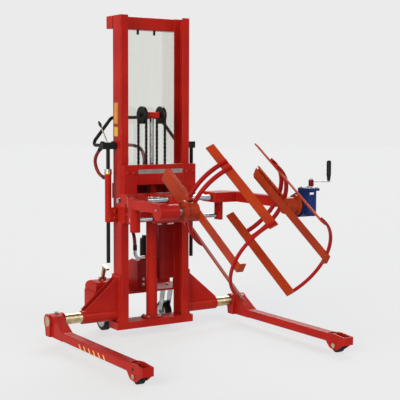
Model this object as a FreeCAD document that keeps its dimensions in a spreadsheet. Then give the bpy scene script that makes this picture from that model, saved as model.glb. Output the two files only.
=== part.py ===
"""Drum tipper: a straddle-leg hand stacker whose carriage holds a tilting pair of clamp jaws.

The frame has +Z up and the legs point along -Y. The near side is -X, the far side, with the
tilt gearbox and its crank, is +X. The origin is on the floor, under the middle of the machine.
"""
import FreeCAD, Part
import math
import os
import re

import Sketcher
from FreeCAD import Placement, Rotation, Vector

# Driving sizes in millimetres and degrees. Reaches run forward from the mast's front plane,
# setbacks run backward from it, and offsets run sideways from the middle plane.
SIZES = {
    # mast
    "mast_width": 500, "mast_top": 2020, "upright_face": 52, "upright_depth": 110,
    "upright_wall": 8, "upright_round": 8, "crossbar_height": 78, "crossbar_depth": 80, "crossbar_wall": 5,
    "crossbar_round": 6, "drain_hole": 10,
    "sill_width": 558, "sill_bottom": 54, "sill_height": 46, "sill_overhang": 4,
    "tie_bottom": 880, "tie_height": 95, "tie_thickness": 12, "anchor_height": 30,
    "screen_width": 440, "screen_height": 850, "screen_thickness": 4, "screen_gap": 18,
    "clip_width": 16, "clip_height": 26, "clip_thickness": 3, "clip_offset": 60,
    # straddle legs
    "shaft_diameter": 64, "shaft_setback": 68, "shaft_height": 148, "shaft_end": 727,
    "shaft_length": 355, "sleeve_diameter": 84, "sleeve_end": 495, "sleeve_plate": 10,
    "gusset_top": 394, "gusset_thickness": 8, "gusset_spread": 56, "gusset_toe": 14,
    "boss_width": 107, "boss_diameter": 92, "leg_offset": 678, "leg_width": 70,
    "leg_bottom": 57, "leg_height": 50, "leg_wall": 5, "leg_round": 8, "tip_overhang": 94,
    "haunch_length": 190,
    "fork_length": 164, "fork_plate": 8, "fork_rise": 6, "fork_drop": 34, "fork_tie_diameter": 26,
    "roller_diameter": 85, "roller_width": 44, "roller_reach": 995, "roller_pin_diameter": 20,
    "pin_head": 5,
    # rear chassis
    "deck_bottom": 255, "deck_thickness": 12, "deck_width": 640, "deck_back": 372, "deck_lip": 34,
    "web_offset": 220, "web_thickness": 10, "web_height": 60,
    "caster_offset": 228, "caster_back": 245, "caster_trail": 40, "caster_wheel_diameter": 150,
    "caster_wheel_width": 44, "caster_fork_gap": 4, "caster_fork_plate": 6, "caster_stem": 24,
    "caster_crown": 78, "caster_crown_height": 12, "caster_axle": 16, "caster_gap": 0.3,
    "hood_width": 172, "hood_overhang": 32, "hood_front": 150, "hood_back": 300,
    "hood_height": 74, "hood_wall": 4, "hood_round": 30, "skirt_bottom": 118, "skirt_top": 285,
    "skirt_overhang": 46, "skirt_thickness": 16,
    "pump_width": 120, "pump_depth": 120, "pump_height": 183, "pump_back": 190,
    "motor_diameter": 60, "motor_height": 143, "motor_offset": 30, "motor_shift": 28, "motor_cap": 18,
    "tank_inner_offset": 92, "tank_outer_offset": 236, "tank_depth": 120, "tank_bottom": 335,
    "tank_height": 355, "tank_round": 14, "filler_diameter": 40, "filler_height": 22,
    # lift
    "cylinder_diameter": 72, "cylinder_bore": 52, "cylinder_height": 880, "cylinder_floor": 14,
    "cylinder_foot": 104, "cylinder_foot_height": 12, "band_height": 10, "band_level": 390,
    "band_step": 3, "pipe_diameter": 20, "pipe_bend": 32, "pipe_offset": 122, "pipe_port": 52,
    "pipe_top": 545, "gland_diameter": 80, "gland_height": 26, "rod_diameter": 28,
    "rod_length": 1033, "piston_height": 40, "sheave_level": 1403, "sheave_offset": 68,
    "sheave_diameter": 112, "sheave_width": 24, "sheave_seat": 46, "sheave_pin": 20,
    "sheave_pin_length": 178, "crosshead_width": 84, "crosshead_depth": 52, "crosshead_height": 40,
    "chain_width": 15, "chain_thickness": 9, "chain_gap": 0.3,
    # carriage
    "carriage_gap": 12, "carriage_depth": 48, "carriage_bottom": 735, "carriage_top": 1094,
    "post_inner_offset": 170, "post_outer_offset": 262, "post_round": 6, "top_beam_height": 124,
    "middle_beam_bottom": 850, "middle_beam_top": 914, "low_beam_height": 66, "beam_wall": 6,
    "shoe_arm_thickness": 14, "shoe_arm_height": 70, "shoe_height": 90, "shoe_gap": 0.3,
    "shoe_level_low": 752, "shoe_level_high": 1010, "lug_width": 26,
    "saddle_half_width": 75, "saddle_front": 310, "guide_diameter": 32, "guide_half_length": 388,
    "guide_level": 893, "guide_front": 280, "guide_rear": 212, "running_gap": 0.05,
    "clamp_level": 775, "clamp_reach": 250, "clamp_barrel": 60, "clamp_bore": 40,
    "clamp_half_length": 165, "clamp_cap": 14, "clamp_rod": 24, "clamp_rod_start": 30,
    "clamp_piston": 22, "clamp_hanger": 40,
    # clamp arms
    "arm_width": 50, "arm_height": 62, "block_inner_offset": 240, "block_front": 322,
    "block_rear": 170, "block_outer_offset": 395, "arm_mitre": 60, "clamp_lug_offset": 312,
    "clamp_lug_thickness": 24, "clamp_lug_bottom": 748, "near_arm_offset": 540,
    "near_arm_bottom": 885, "near_arm_height": 52, "near_arm_bend": 624, "near_arm_nose": 23,
    "near_splay_start": 334, "bearing_diameter": 86, "bearing_inner_offset": 419,
    "bearing_cap": 20, "hanger_post": 58, "hanger_post_bottom": 755, "hanger_post_reach": 652,
    "far_arm_offset": 447,
    # jaws
    "pivot_reach": 943, "pivot_level": 890, "tilt_angle": 33, "grip_diameter": 583,
    "stave_thickness": 8, "stave_width": 50, "stave_angle": 57, "pivot_stave_front": 484,
    "pivot_stave_rear": 333, "side_stave_front": 462, "side_stave_rear": 250,
    "hook_reach": 34, "hoop_bar": 18, "hoop_seat": 2, "hoop_near": 25, "hoop_far": 80,
    "front_hoop": 448, "front_hoop_bar": 14, "hoop_overlap": 4, "spine_height": 80,
    "spine_depth_near": 38, "spine_depth_far": 17, "spine_front": 44, "spine_wall": 5, "spine_round": 8,
    "hub_diameter": 96,
    "flange_diameter": 122, "flange_thickness": 14, "hub_end_offset": 387, "pivot_diameter": 50,
    # tilt gearbox
    "box_offset": 397, "box_width": 76, "box_wall": 8, "wheel_diameter": 118, "wheel_width": 24,
    "wheel_gap": 18,
    "worm_diameter": 36, "worm_length": 64, "worm_mesh_gap": 0.6, "worm_shaft": 16,
    "worm_housing": 62, "worm_housing_low": 58, "worm_housing_high": 86, "lid_thickness": 14,
    "lid_length": 104, "crank_hub": 30, "crank_hub_height": 36, "crank_hub_gap": 12,
    "crank_length": 100, "crank_turn": -35, "crank_bar_width": 18, "crank_bar_thickness": 6,
    "crank_pin": 9, "grip_length": 116, "grip_top": 26, "grip_foot": 17, "grip_gap": 2,
    # handle and valve
    "post_offset": 306, "post_setback": 67, "post_diameter": 24, "post_bottom": 477,
    "handle_level": 1212, "sleeve_tube": 41, "sleeve_tube_bottom": 735, "sleeve_drop": 177,
    "bracket_height": 90, "bracket_depth": 46, "collar_diameter": 45, "collar_height": 32,
    "valve_width": 90, "valve_depth": 44, "valve_height": 42, "elbow_width": 34,
    "handle_diameter": 22, "handle_setback": 262, "handle_half_width": 322,
    "handle_top_half_width": 178, "handle_top": 1388, "handle_bend": 48, "handle_spigot": 30,
    "lever_diameter": 9, "lever_length": 138, "lever_lean": -42, "lever_ball": 22,
    "lever_boss": 18, "lever_slot_gap": 0.3, "knob_diameter": 20, "knob_length": 46,
    "release_offset": 268, "release_setback": 226, "release_bar": 14, "release_width": 20,
    "release_height": 86, "release_foot": 40, "release_pin": 10, "release_lug": 12,
    "release_lug_height": 30,
    # hoses and the ports that they leave
    "hose_diameter": 22, "port_diameter": 26, "port_length": 12, "sleeve_port_drop": 23,
    "sleeve_port_back": 96, "return_port_offset": 334, "return_port_drop": 11, "return_port_dip": 30,
    "return_run": 110, "return_port_depth": 30, "feed_port_offset": 276, "feed_port_rise": 1,
}

# Places and sizes that follow from the driving ones.
DERIVED = {
    "rear_reach": "deck_back",
    "stave_corner": "stave_outer * sin(stave_angle * 1 deg) + stave_width / 2 * cos(stave_angle * 1 deg)",
    "jaw_reach": "side_stave_front * cos(tilt_angle * 1 deg) + stave_corner * sin(tilt_angle * 1 deg)",
    "front_reach": "pivot_reach + jaw_reach",
    "mast_y": "(front_reach - rear_reach) / 2",
    "mast_back": "mast_y + upright_depth",
    "mast_side": "mast_width / 2",
    "sill_top": "sill_bottom + sill_height",
    "column_y": "mast_y + upright_depth / 2",
    "shaft_y": "mast_y + shaft_setback",
    "sleeve_bore": "shaft_diameter + 2 * running_gap",
    "leg_inner": "leg_offset - leg_width / 2",
    "leg_outer": "leg_offset + leg_width / 2",
    "leg_top": "leg_bottom + leg_height",
    "boss_inner": "shaft_end - boss_width",
    "leg_tip": "roller_y - tip_overhang",
    "fork_start": "leg_tip + fork_length",
    "roller_y": "mast_y - roller_reach",
    "roller_z": "roller_diameter / 2",
    "deck_top": "deck_bottom + deck_thickness",
    "caster_y": "mast_y + caster_back",
    "caster_axle_y": "caster_y + caster_trail",
    "caster_axle_z": "caster_wheel_diameter / 2",
    "fork_inner": "caster_wheel_width / 2 + caster_fork_gap",
    "fork_outer": "fork_inner + caster_fork_plate",
    "crown_top": "deck_bottom - caster_gap",
    "crown_bottom": "crown_top - caster_crown_height",
    "hood_top": "deck_top + hood_height",
    "hood_outer": "deck_width / 2 + hood_overhang",
    "hood_inner": "hood_outer - hood_width",
    "skirt_outer": "deck_width / 2 + skirt_overhang",
    "pump_y": "mast_y + pump_back",
    "pump_top": "deck_top + pump_height",
    "motor_back": "pump_back + pump_depth / 2",
    "motor_y": "mast_y + motor_back",
    "motor_top": "pump_top + motor_height + motor_cap",
    "motor_x": "motor_offset + motor_shift",
    "cylinder_top": "sill_top + cylinder_height",
    "pipe_level": "sill_top + band_level + band_height / 2",
    "crosshead_bottom": "sheave_level - crosshead_height / 2",
    "rod_bottom": "crosshead_bottom - rod_length",
    "chain_inner": "sheave_seat + chain_gap",
    "chain_outer": "chain_inner + chain_thickness",
    "carriage_back": "mast_y - carriage_gap",
    "carriage_front": "carriage_back - carriage_depth",
    "low_beam_top": "carriage_bottom + low_beam_height",
    "channel_inner": "mast_side - upright_wall",
    "lug_top": "carriage_bottom + anchor_height",
    "saddle_y": "mast_y - saddle_front",
    "clamp_y": "mast_y - clamp_reach",
    "arm_bottom": "guide_level - arm_height / 2",
    "arm_top": "guide_level + arm_height / 2",
    "near_bend_y": "mast_y - near_arm_bend",
    "near_splay_y": "mast_y - near_splay_start",
    "near_front_y": "pivot_y - near_arm_nose",
    "near_arm_inner": "near_arm_offset - arm_width",
    "hanger_post_y": "mast_y - hanger_post_reach",
    "pivot_end": "near_arm_offset - bearing_cap - 2 * running_gap",
    "block_front_y": "mast_y - block_front",
    "block_rear_y": "mast_y - block_rear",
    "pivot_y": "mast_y - pivot_reach",
    "grip_radius": "grip_diameter / 2",
    "stave_outer": "grip_radius + stave_thickness",
    "hoop_inner": "stave_outer - hoop_seat",
    "pivot_start": "hoop_inner + hoop_bar + 2",
    "wheel_start": "box_offset + box_wall + wheel_gap",
    "worm_x": "wheel_start + wheel_width / 2",
    "worm_y": "pivot_y - (wheel_diameter + worm_diameter) / 2 - worm_mesh_gap",
    "lid_bottom": "pivot_level + worm_housing_high",
    "lid_top": "lid_bottom + lid_thickness",
    "crank_hub_z": "lid_top + crank_hub_gap",
    "crank_bar_z": "crank_hub_z + crank_hub_height - crank_bar_thickness - 6",
    "grip_bottom": "crank_bar_z + crank_bar_thickness + grip_gap",
    "post_y": "mast_y + post_setback",
    "sleeve_tube_top": "handle_level - sleeve_drop",
    "sleeve_port_level": "sleeve_tube_top - sleeve_port_drop",
    "return_port_level": "handle_level - return_port_drop",
    "feed_port_level": "handle_level + feed_port_rise",
    "valve_bottom": "handle_level - valve_height / 2",
    "valve_top": "handle_level + valve_height / 2",
    "valve_back": "post_setback + valve_depth / 2",
    "port_end": "valve_back + port_length",
    "return_bend_back": "port_end + return_run * cos(return_port_dip * 1 deg)",
    "return_bend_level": "return_port_level - return_run * sin(return_port_dip * 1 deg)",
    "handle_y": "mast_y + handle_setback",
    "release_y": "mast_y + release_setback",
}

PLANES = {"XY": "XY_Plane", "XZ": "XZ_Plane", "YZ": "YZ_Plane"}
TURN_TO_AXIS = {
    "X": (Vector(0, 1, 0), 90),
    "Y": (Vector(1, 0, 0), -90),
    "Z": (Vector(0, 0, 1), 0),
}

doc = FreeCAD.newDocument("drum_tipper")
sheet = doc.addObject("Spreadsheet::Sheet", "sizes")
nodes = []


def fill_sheet():
    for row, (name, size) in enumerate(SIZES.items(), 1):
        sheet.set(f"A{row}", name)
        sheet.set(f"B{row}", str(size))
        sheet.setAlias(f"B{row}", name)
    doc.recompute()


def formula(words):
    """Turn a formula in plain size names into one that reads the sheet."""
    def swap(match):
        name = match.group(0)
        if name in DERIVED:
            return "(" + formula(DERIVED[name]) + ")"
        return "sizes." + name if name in SIZES else name
    return re.sub(r"[a-z_]+", swap, str(words))


def size(words):
    return float(sheet.evalExpression(formula(words)))


def bind(thing, prop, words):
    thing.setExpression(prop, formula(words))


def move(thing, x=0, y=0, z=0, axis=None, angle=0):
    """Give an object its place, and a turn about one axis, by formulas."""
    if axis:
        thing.Placement = Placement(Vector(), Rotation(axis, 1))
        bind(thing, "Placement.Rotation.Angle", angle)
    for prop, words in (("x", x), ("y", y), ("z", z)):
        bind(thing, "Placement.Base." + prop, words)
    return thing


def node(thing, name):
    """Keep an object as one named piece of the machine."""
    thing.Label = name
    nodes.append(thing)
    return thing


def box(name, x, y, z):
    """A block between two values on each axis."""
    block = doc.addObject("Part::Box", name)
    for prop, (low, high) in (("Length", x), ("Width", y), ("Height", z)):
        bind(block, prop, f"{high} - ({low})")
    return move(block, x[0], y[0], z[0])


def rod(name, axis, start, end, diameter, x=0, y=0, z=0):
    """A round bar along an axis, from start to end."""
    bar = doc.addObject("Part::Cylinder", name)
    bind(bar, "Radius", f"({diameter}) / 2")
    bind(bar, "Height", f"{end} - ({start})")
    place = {"X": (start, y, z), "Y": (x, start, z), "Z": (x, y, start)}[axis]
    turn, angle = TURN_TO_AXIS[axis]
    return move(bar, *place, turn if angle else None, angle)


def side_span(sign, inner, outer):
    """The low and high x of a piece between two offsets on the near (-1) or far (1) side."""
    return (f"-({outer})", f"-({inner})") if sign < 0 else (inner, outer)


def fuse(name, *things):
    joined = doc.addObject("Part::MultiFuse", name)
    joined.Shapes = list(things)
    joined.Refine = True
    return joined


def cut(name, base, *tools):
    result = doc.addObject("Part::Cut", name)
    result.Base = base
    result.Tool = tools[0] if len(tools) == 1 else fuse(name + "_tools", *tools)
    return result


def group(name, *things):
    """Separate solids that share one node."""
    bundle = doc.addObject("Part::Compound", name)
    bundle.Links = list(things)
    return bundle


def mirrored(name, thing):
    """The far-side twin of a near-side object."""
    twin = doc.addObject("Part::Mirroring", name)
    twin.Source = thing
    twin.Normal = Vector(1, 0, 0)
    return twin


def sketch_outline(body, plane, corners):
    """A closed outline of straight lines whose corners are formulas."""
    sketch = body.newObject("Sketcher::SketchObject", body.Name + "_outline")
    support = next(f for f in body.Origin.OriginFeatures if f.Role == PLANES[plane])
    sketch.AttachmentSupport = [(support, "")]
    sketch.MapMode = "FlatFace"
    points = [Vector(size(across), size(along), 0) for across, along in corners]
    count = len(points)
    for i in range(count):
        sketch.addGeometry(Part.LineSegment(points[i], points[(i + 1) % count]))
    for i in range(count):
        sketch.addConstraint(Sketcher.Constraint("Coincident", i, 2, (i + 1) % count, 1))
    for i, (across, along) in enumerate(corners):
        for kind, start, words in (("DistanceX", points[i].x, across), ("DistanceY", points[i].y, along)):
            index = sketch.addConstraint(Sketcher.Constraint(kind, -1, 1, i, 1, start))
            bind(sketch, f"Constraints[{index}]", words)
    return sketch


def padded(name, plane, corners, length, midplane=False):
    """A body padded from an outline."""
    body = doc.addObject("PartDesign::Body", name)
    pad = body.newObject("PartDesign::Pad", name + "_pad")
    pad.Profile = sketch_outline(body, plane, corners)
    pad.Midplane = midplane
    bind(pad, "Length", length)
    return body


def revolved(name, plane, corners, axis, angle=360, midplane=False):
    """A body turned from an outline about a sketch axis."""
    body = doc.addObject("PartDesign::Body", name)
    turn = body.newObject("PartDesign::Revolution", name + "_turn")
    turn.Profile = sketch_outline(body, plane, corners)
    turn.ReferenceAxis = (turn.Profile[0], [axis])
    turn.Midplane = midplane
    bind(turn, "Angle", angle)
    return body


def rounded(name, block, radius, edges):
    """An object with some edges rounded; edges picks them by their place from the object's middle."""
    doc.recompute()
    smooth = doc.addObject("Part::Fillet", name)
    smooth.Base = block
    centre = block.Shape.BoundBox.Center
    picked = [i for i, edge in enumerate(block.Shape.Edges, 1) if edges(edge.CenterOfMass - centre)]
    smooth.Edges = [(i, size(radius), size(radius)) for i in picked]
    return smooth


def rounded_box(name, x, y, z, radius, edges):
    return rounded(name, box(name + "_block", x, y, z), radius, edges)


def bent_tube(points, diameter, radius_of):
    """A round bar along straight runs joined by tangent arcs, as a solid with its centre line's length."""
    edges = []
    radii = []
    start = points[0]
    for before, corner, after in zip(points, points[1:], points[2:]):
        back = (before - corner).normalize()
        ahead = (after - corner).normalize()
        turn = math.pi - back.getAngle(ahead)
        radius = radius_of(min((before - corner).Length, (after - corner).Length), turn)
        reach = radius * math.tan(turn / 2)
        first = corner + back * reach
        last = corner + ahead * reach
        inward = (back + ahead).normalize()
        middle = corner + inward * (radius / math.cos(turn / 2) - radius)
        edges.append(Part.LineSegment(start, first).toShape())
        edges.append(Part.Arc(first, middle, last).toShape())
        radii.append(radius)
        start = last
    edges.append(Part.LineSegment(start, points[-1]).toShape())
    path = Part.Wire(edges)
    ring = Part.Wire([Part.makeCircle(diameter / 2, points[0], points[1] - points[0])])
    solid = path.makePipeShell([ring], True, False)
    ideal = math.pi * diameter ** 2 / 4 * path.Length
    print(f"tube length {path.Length:.0f} mm, radii {[round(r) for r in radii]}, "
          f"volume ratio {solid.Volume / ideal:.4f}")
    return solid


def place(x, y, z):
    """A point from formulas, with y counted backward from the mast's front plane."""
    return Vector(size(x), size("mast_y") + size(y), size(z))


def make_mast():
    """Two C-channel uprights, open towards each other, on a sill and under a box crossbar."""
    wall_in = "-channel_inner"
    face_in = "-mast_side + upright_face"
    channel = padded("upright_channel", "XY", [
        ("-mast_side", "mast_y"), (face_in, "mast_y"), (face_in, "mast_y + upright_wall"),
        (wall_in, "mast_y + upright_wall"), (wall_in, "mast_back - upright_wall"),
        (face_in, "mast_back - upright_wall"), (face_in, "mast_back"), ("-mast_side", "mast_back"),
    ], "mast_top - sill_top")
    move(channel, z="sill_top")
    corner = size("upright_depth / 2") - 1
    upright = rounded("upright_rounded", channel, "upright_round",
                      lambda middle: abs(middle.z) < 1 and middle.x < -1 and abs(middle.y) > corner)
    node(upright, "mast_upright_near")
    node(mirrored("upright_far", upright), "mast_upright_far")

    span = ("-mast_side", "mast_side")
    outer = rounded_box("crossbar_tube", span, ("mast_back", "mast_back + crossbar_depth"),
                        ("mast_top - crossbar_height", "mast_top"), "crossbar_round",
                        lambda middle: abs(middle.x) < 1)
    hollow = box("crossbar_hollow", ("-mast_side + crossbar_wall", "mast_side - crossbar_wall"),
                 ("mast_back + crossbar_wall", "mast_back + crossbar_depth - crossbar_wall"),
                 ("mast_top - crossbar_height + crossbar_wall", "mast_top - crossbar_wall"))
    drain = rod("crossbar_drain", "Z", "mast_top - crossbar_height - 1",
                "mast_top - crossbar_height + 2 * crossbar_wall", "drain_hole",
                y="mast_back + crossbar_depth / 2")
    crossbar = cut("crossbar", outer, hollow, drain)

    node(box("sill", ("-sill_width / 2", "sill_width / 2"),
             ("mast_y - sill_overhang", "mast_back + sill_overhang"), ("sill_bottom", "sill_top")),
         "base_sill")

    tie = box("tie_bar", span, ("mast_back", "mast_back + tie_thickness"),
              ("tie_bottom", "tie_bottom + tie_height"))
    lugs = [box(f"tie_lug_{side}", (f"{sign} * sheave_offset - chain_width / 2",
                                    f"{sign} * sheave_offset + chain_width / 2"),
                ("column_y + chain_inner", "mast_back + tie_thickness"),
                ("tie_bottom", "tie_bottom + tie_height + anchor_height"))
            for side, sign in (("near", -1), ("far", 1))]
    node(group("cross_members", crossbar, fuse("tie", tie, *lugs)), "mast_cross_members")

    screen_top = "mast_top - crossbar_height - 4"
    screen_y = ("mast_back + screen_gap", "mast_back + screen_gap + screen_thickness")
    node(box("screen", ("-screen_width / 2", "screen_width / 2"), screen_y,
             (f"{screen_top} - screen_height", screen_top)), "clear_screen")
    clips = []
    for side, sign in (("near", -1), ("far", 1)):
        middle = f"{sign} * clip_offset"
        x = (f"{middle} - clip_width / 2", f"{middle} + clip_width / 2")
        hanger = box(f"clip_hanger_{side}", x,
                     ("mast_back + screen_gap - clip_thickness", "mast_back + screen_gap"),
                     (f"{screen_top} - clip_height", "mast_top - crossbar_height"))
        clips.append(hanger)
    node(group("clips", *clips), "screen_clips")


def make_leg():
    """One straddle leg and the sleeve that its shaft slides in, with its mirrored twin."""
    tube = rod("sleeve_round", "X", "-sleeve_end", "-mast_side", "sleeve_diameter",
               y="shaft_y", z="shaft_height")
    plate = box("sleeve_flange", ("-mast_side - sleeve_plate", "-mast_side"),
                ("mast_y + 6", "mast_back"), ("sill_top", "gusset_top + 6"))
    toe_z = "shaft_height + sleeve_diameter / 2 - gusset_toe / 2"
    gussets = []
    for side, sign in (("front", -1), ("rear", 1)):
        gusset = padded(f"gusset_{side}", "XZ", [
            ("-mast_side", "shaft_height"), ("-mast_side", "gusset_top"),
            ("-sleeve_end + gusset_toe", f"{toe_z} + gusset_toe"),
            ("-sleeve_end + gusset_toe", "shaft_height"),
        ], "gusset_thickness", midplane=True)
        gussets.append(move(gusset, y=f"shaft_y + {sign} * gusset_spread / 2"))
    bore = rod("sleeve_bore", "X", "-sleeve_end - 1", "-mast_side - sleeve_plate", "sleeve_bore",
               y="shaft_y", z="shaft_height")
    sleeve = cut("sleeve", fuse("sleeve_weldment", tube, plate, *gussets), bore)

    shaft = rod("shaft", "X", "-shaft_end", "-shaft_end + shaft_length", "shaft_diameter",
                y="shaft_y", z="shaft_height")

    x = ("-leg_outer", "-leg_inner")
    beam = rounded_box("leg_tube", x, ("fork_start", "shaft_y"), ("leg_bottom", "leg_top"), "leg_round",
                       lambda middle: abs(middle.y) < 1)
    hollow = box("leg_hollow", ("-leg_outer + leg_wall", "-leg_inner - leg_wall"),
                 ("fork_start - 1", "shaft_y - boss_diameter"),
                 ("leg_bottom + leg_wall", "leg_top - leg_wall"))
    boss = rod("leg_boss", "X", "-shaft_end", "-boss_inner", "boss_diameter",
               y="shaft_y", z="shaft_height")
    haunch = padded("leg_haunch", "YZ", [
        ("shaft_y", "leg_bottom"), ("shaft_y", "shaft_height + boss_diameter / 2 - 4"),
        ("shaft_y - boss_diameter / 2", "shaft_height + boss_diameter / 2 - 10"),
        ("shaft_y - haunch_length", "leg_top - leg_wall"), ("shaft_y - haunch_length", "leg_bottom"),
    ], "leg_width")
    move(haunch, x="-leg_outer")
    heel = padded("leg_heel", "YZ", [
        ("shaft_y - boss_diameter / 2.5", "leg_bottom"), ("shaft_y + boss_diameter / 4", "leg_bottom"),
        ("shaft_y + boss_diameter / 2.5", "shaft_height"), ("shaft_y - boss_diameter / 2.5", "shaft_height"),
    ], "boss_width")
    move(heel, x="-shaft_end")
    cheek_outline = [
        ("fork_start", "leg_bottom"), ("roller_y + 40", "roller_z - fork_drop / 2"),
        ("roller_y + 18", "roller_z - fork_drop / 2 - 6"), ("roller_y - 26", "roller_z - fork_drop / 2 - 6"),
        ("leg_tip + 22", "leg_bottom - 6"), ("leg_tip", "leg_bottom"), ("leg_tip", "leg_top - 2"),
        ("fork_start - 60", "leg_top + fork_rise"), ("fork_start", "leg_top"),
    ]
    cheeks = [move(padded(f"fork_cheek_{side}", "YZ", cheek_outline, "fork_plate"), x=start)
              for side, start in (("outer", "-leg_outer"), ("inner", "-leg_inner - fork_plate"))]
    nose = box("fork_nose", x, ("leg_tip", "leg_tip + fork_plate"), ("leg_bottom", "leg_top - 2"))
    cross_tie = rod("fork_tie", "X", *x, "fork_tie_diameter", y="fork_start - 32", z="leg_top - 14")
    solid = fuse("leg_weldment", cut("leg_open_tube", beam, hollow), haunch, heel, boss,
                 *cheeks, nose, cross_tie)
    shaft_hole = rod("leg_shaft_hole", "X", "-shaft_end - 1", "-boss_inner + 1", "shaft_diameter",
                     y="shaft_y", z="shaft_height")
    pin_hole = rod("leg_pin_hole", "X", "-leg_outer - 1", "-leg_inner + 1", "roller_pin_diameter",
                   y="roller_y", z="roller_z")
    leg = cut("leg", solid, shaft_hole, pin_hole)

    pin = rod("roller_pin_shank", "X", *x, "roller_pin_diameter", y="roller_y", z="roller_z")
    heads = [rod(f"roller_pin_head_{side}", "X", start, end, "roller_pin_diameter * 1.5",
                 y="roller_y", z="roller_z")
             for side, start, end in (("outer", "-leg_outer - pin_head", "-leg_outer"),
                                      ("inner", "-leg_inner", "-leg_inner + pin_head"))]
    roller = revolved("roller", "XY", wheel_outline("roller_diameter", "roller_width",
                                                    "roller_pin_diameter / 2 + running_gap"), "H_Axis")
    move(roller, x="-leg_offset", y="roller_y", z="roller_z")

    shafts = group("leg_shafts", shaft, fuse("roller_pin", pin, *heads))
    for thing, name in ((sleeve, "leg_sleeve"), (shafts, "leg_shaft"), (leg, "leg_beam"),
                        (roller, "leg_roller")):
        node(thing, name + "_near")
        node(mirrored(name + "_far", thing), name + "_far")


def wheel_outline(diameter, width, bore):
    """Half section of a wheel about the sketch's X axis: chamfered tread and recessed sides."""
    rim = f"{diameter} / 2"
    side = f"{width} / 2"
    return [(f"-{side}", bore), (f"{side}", bore), (f"{side}", f"{rim} - 7"), (f"{side} - 5", rim),
            (f"-{side} + 5", rim), (f"-{side}", f"{rim} - 7")]


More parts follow.
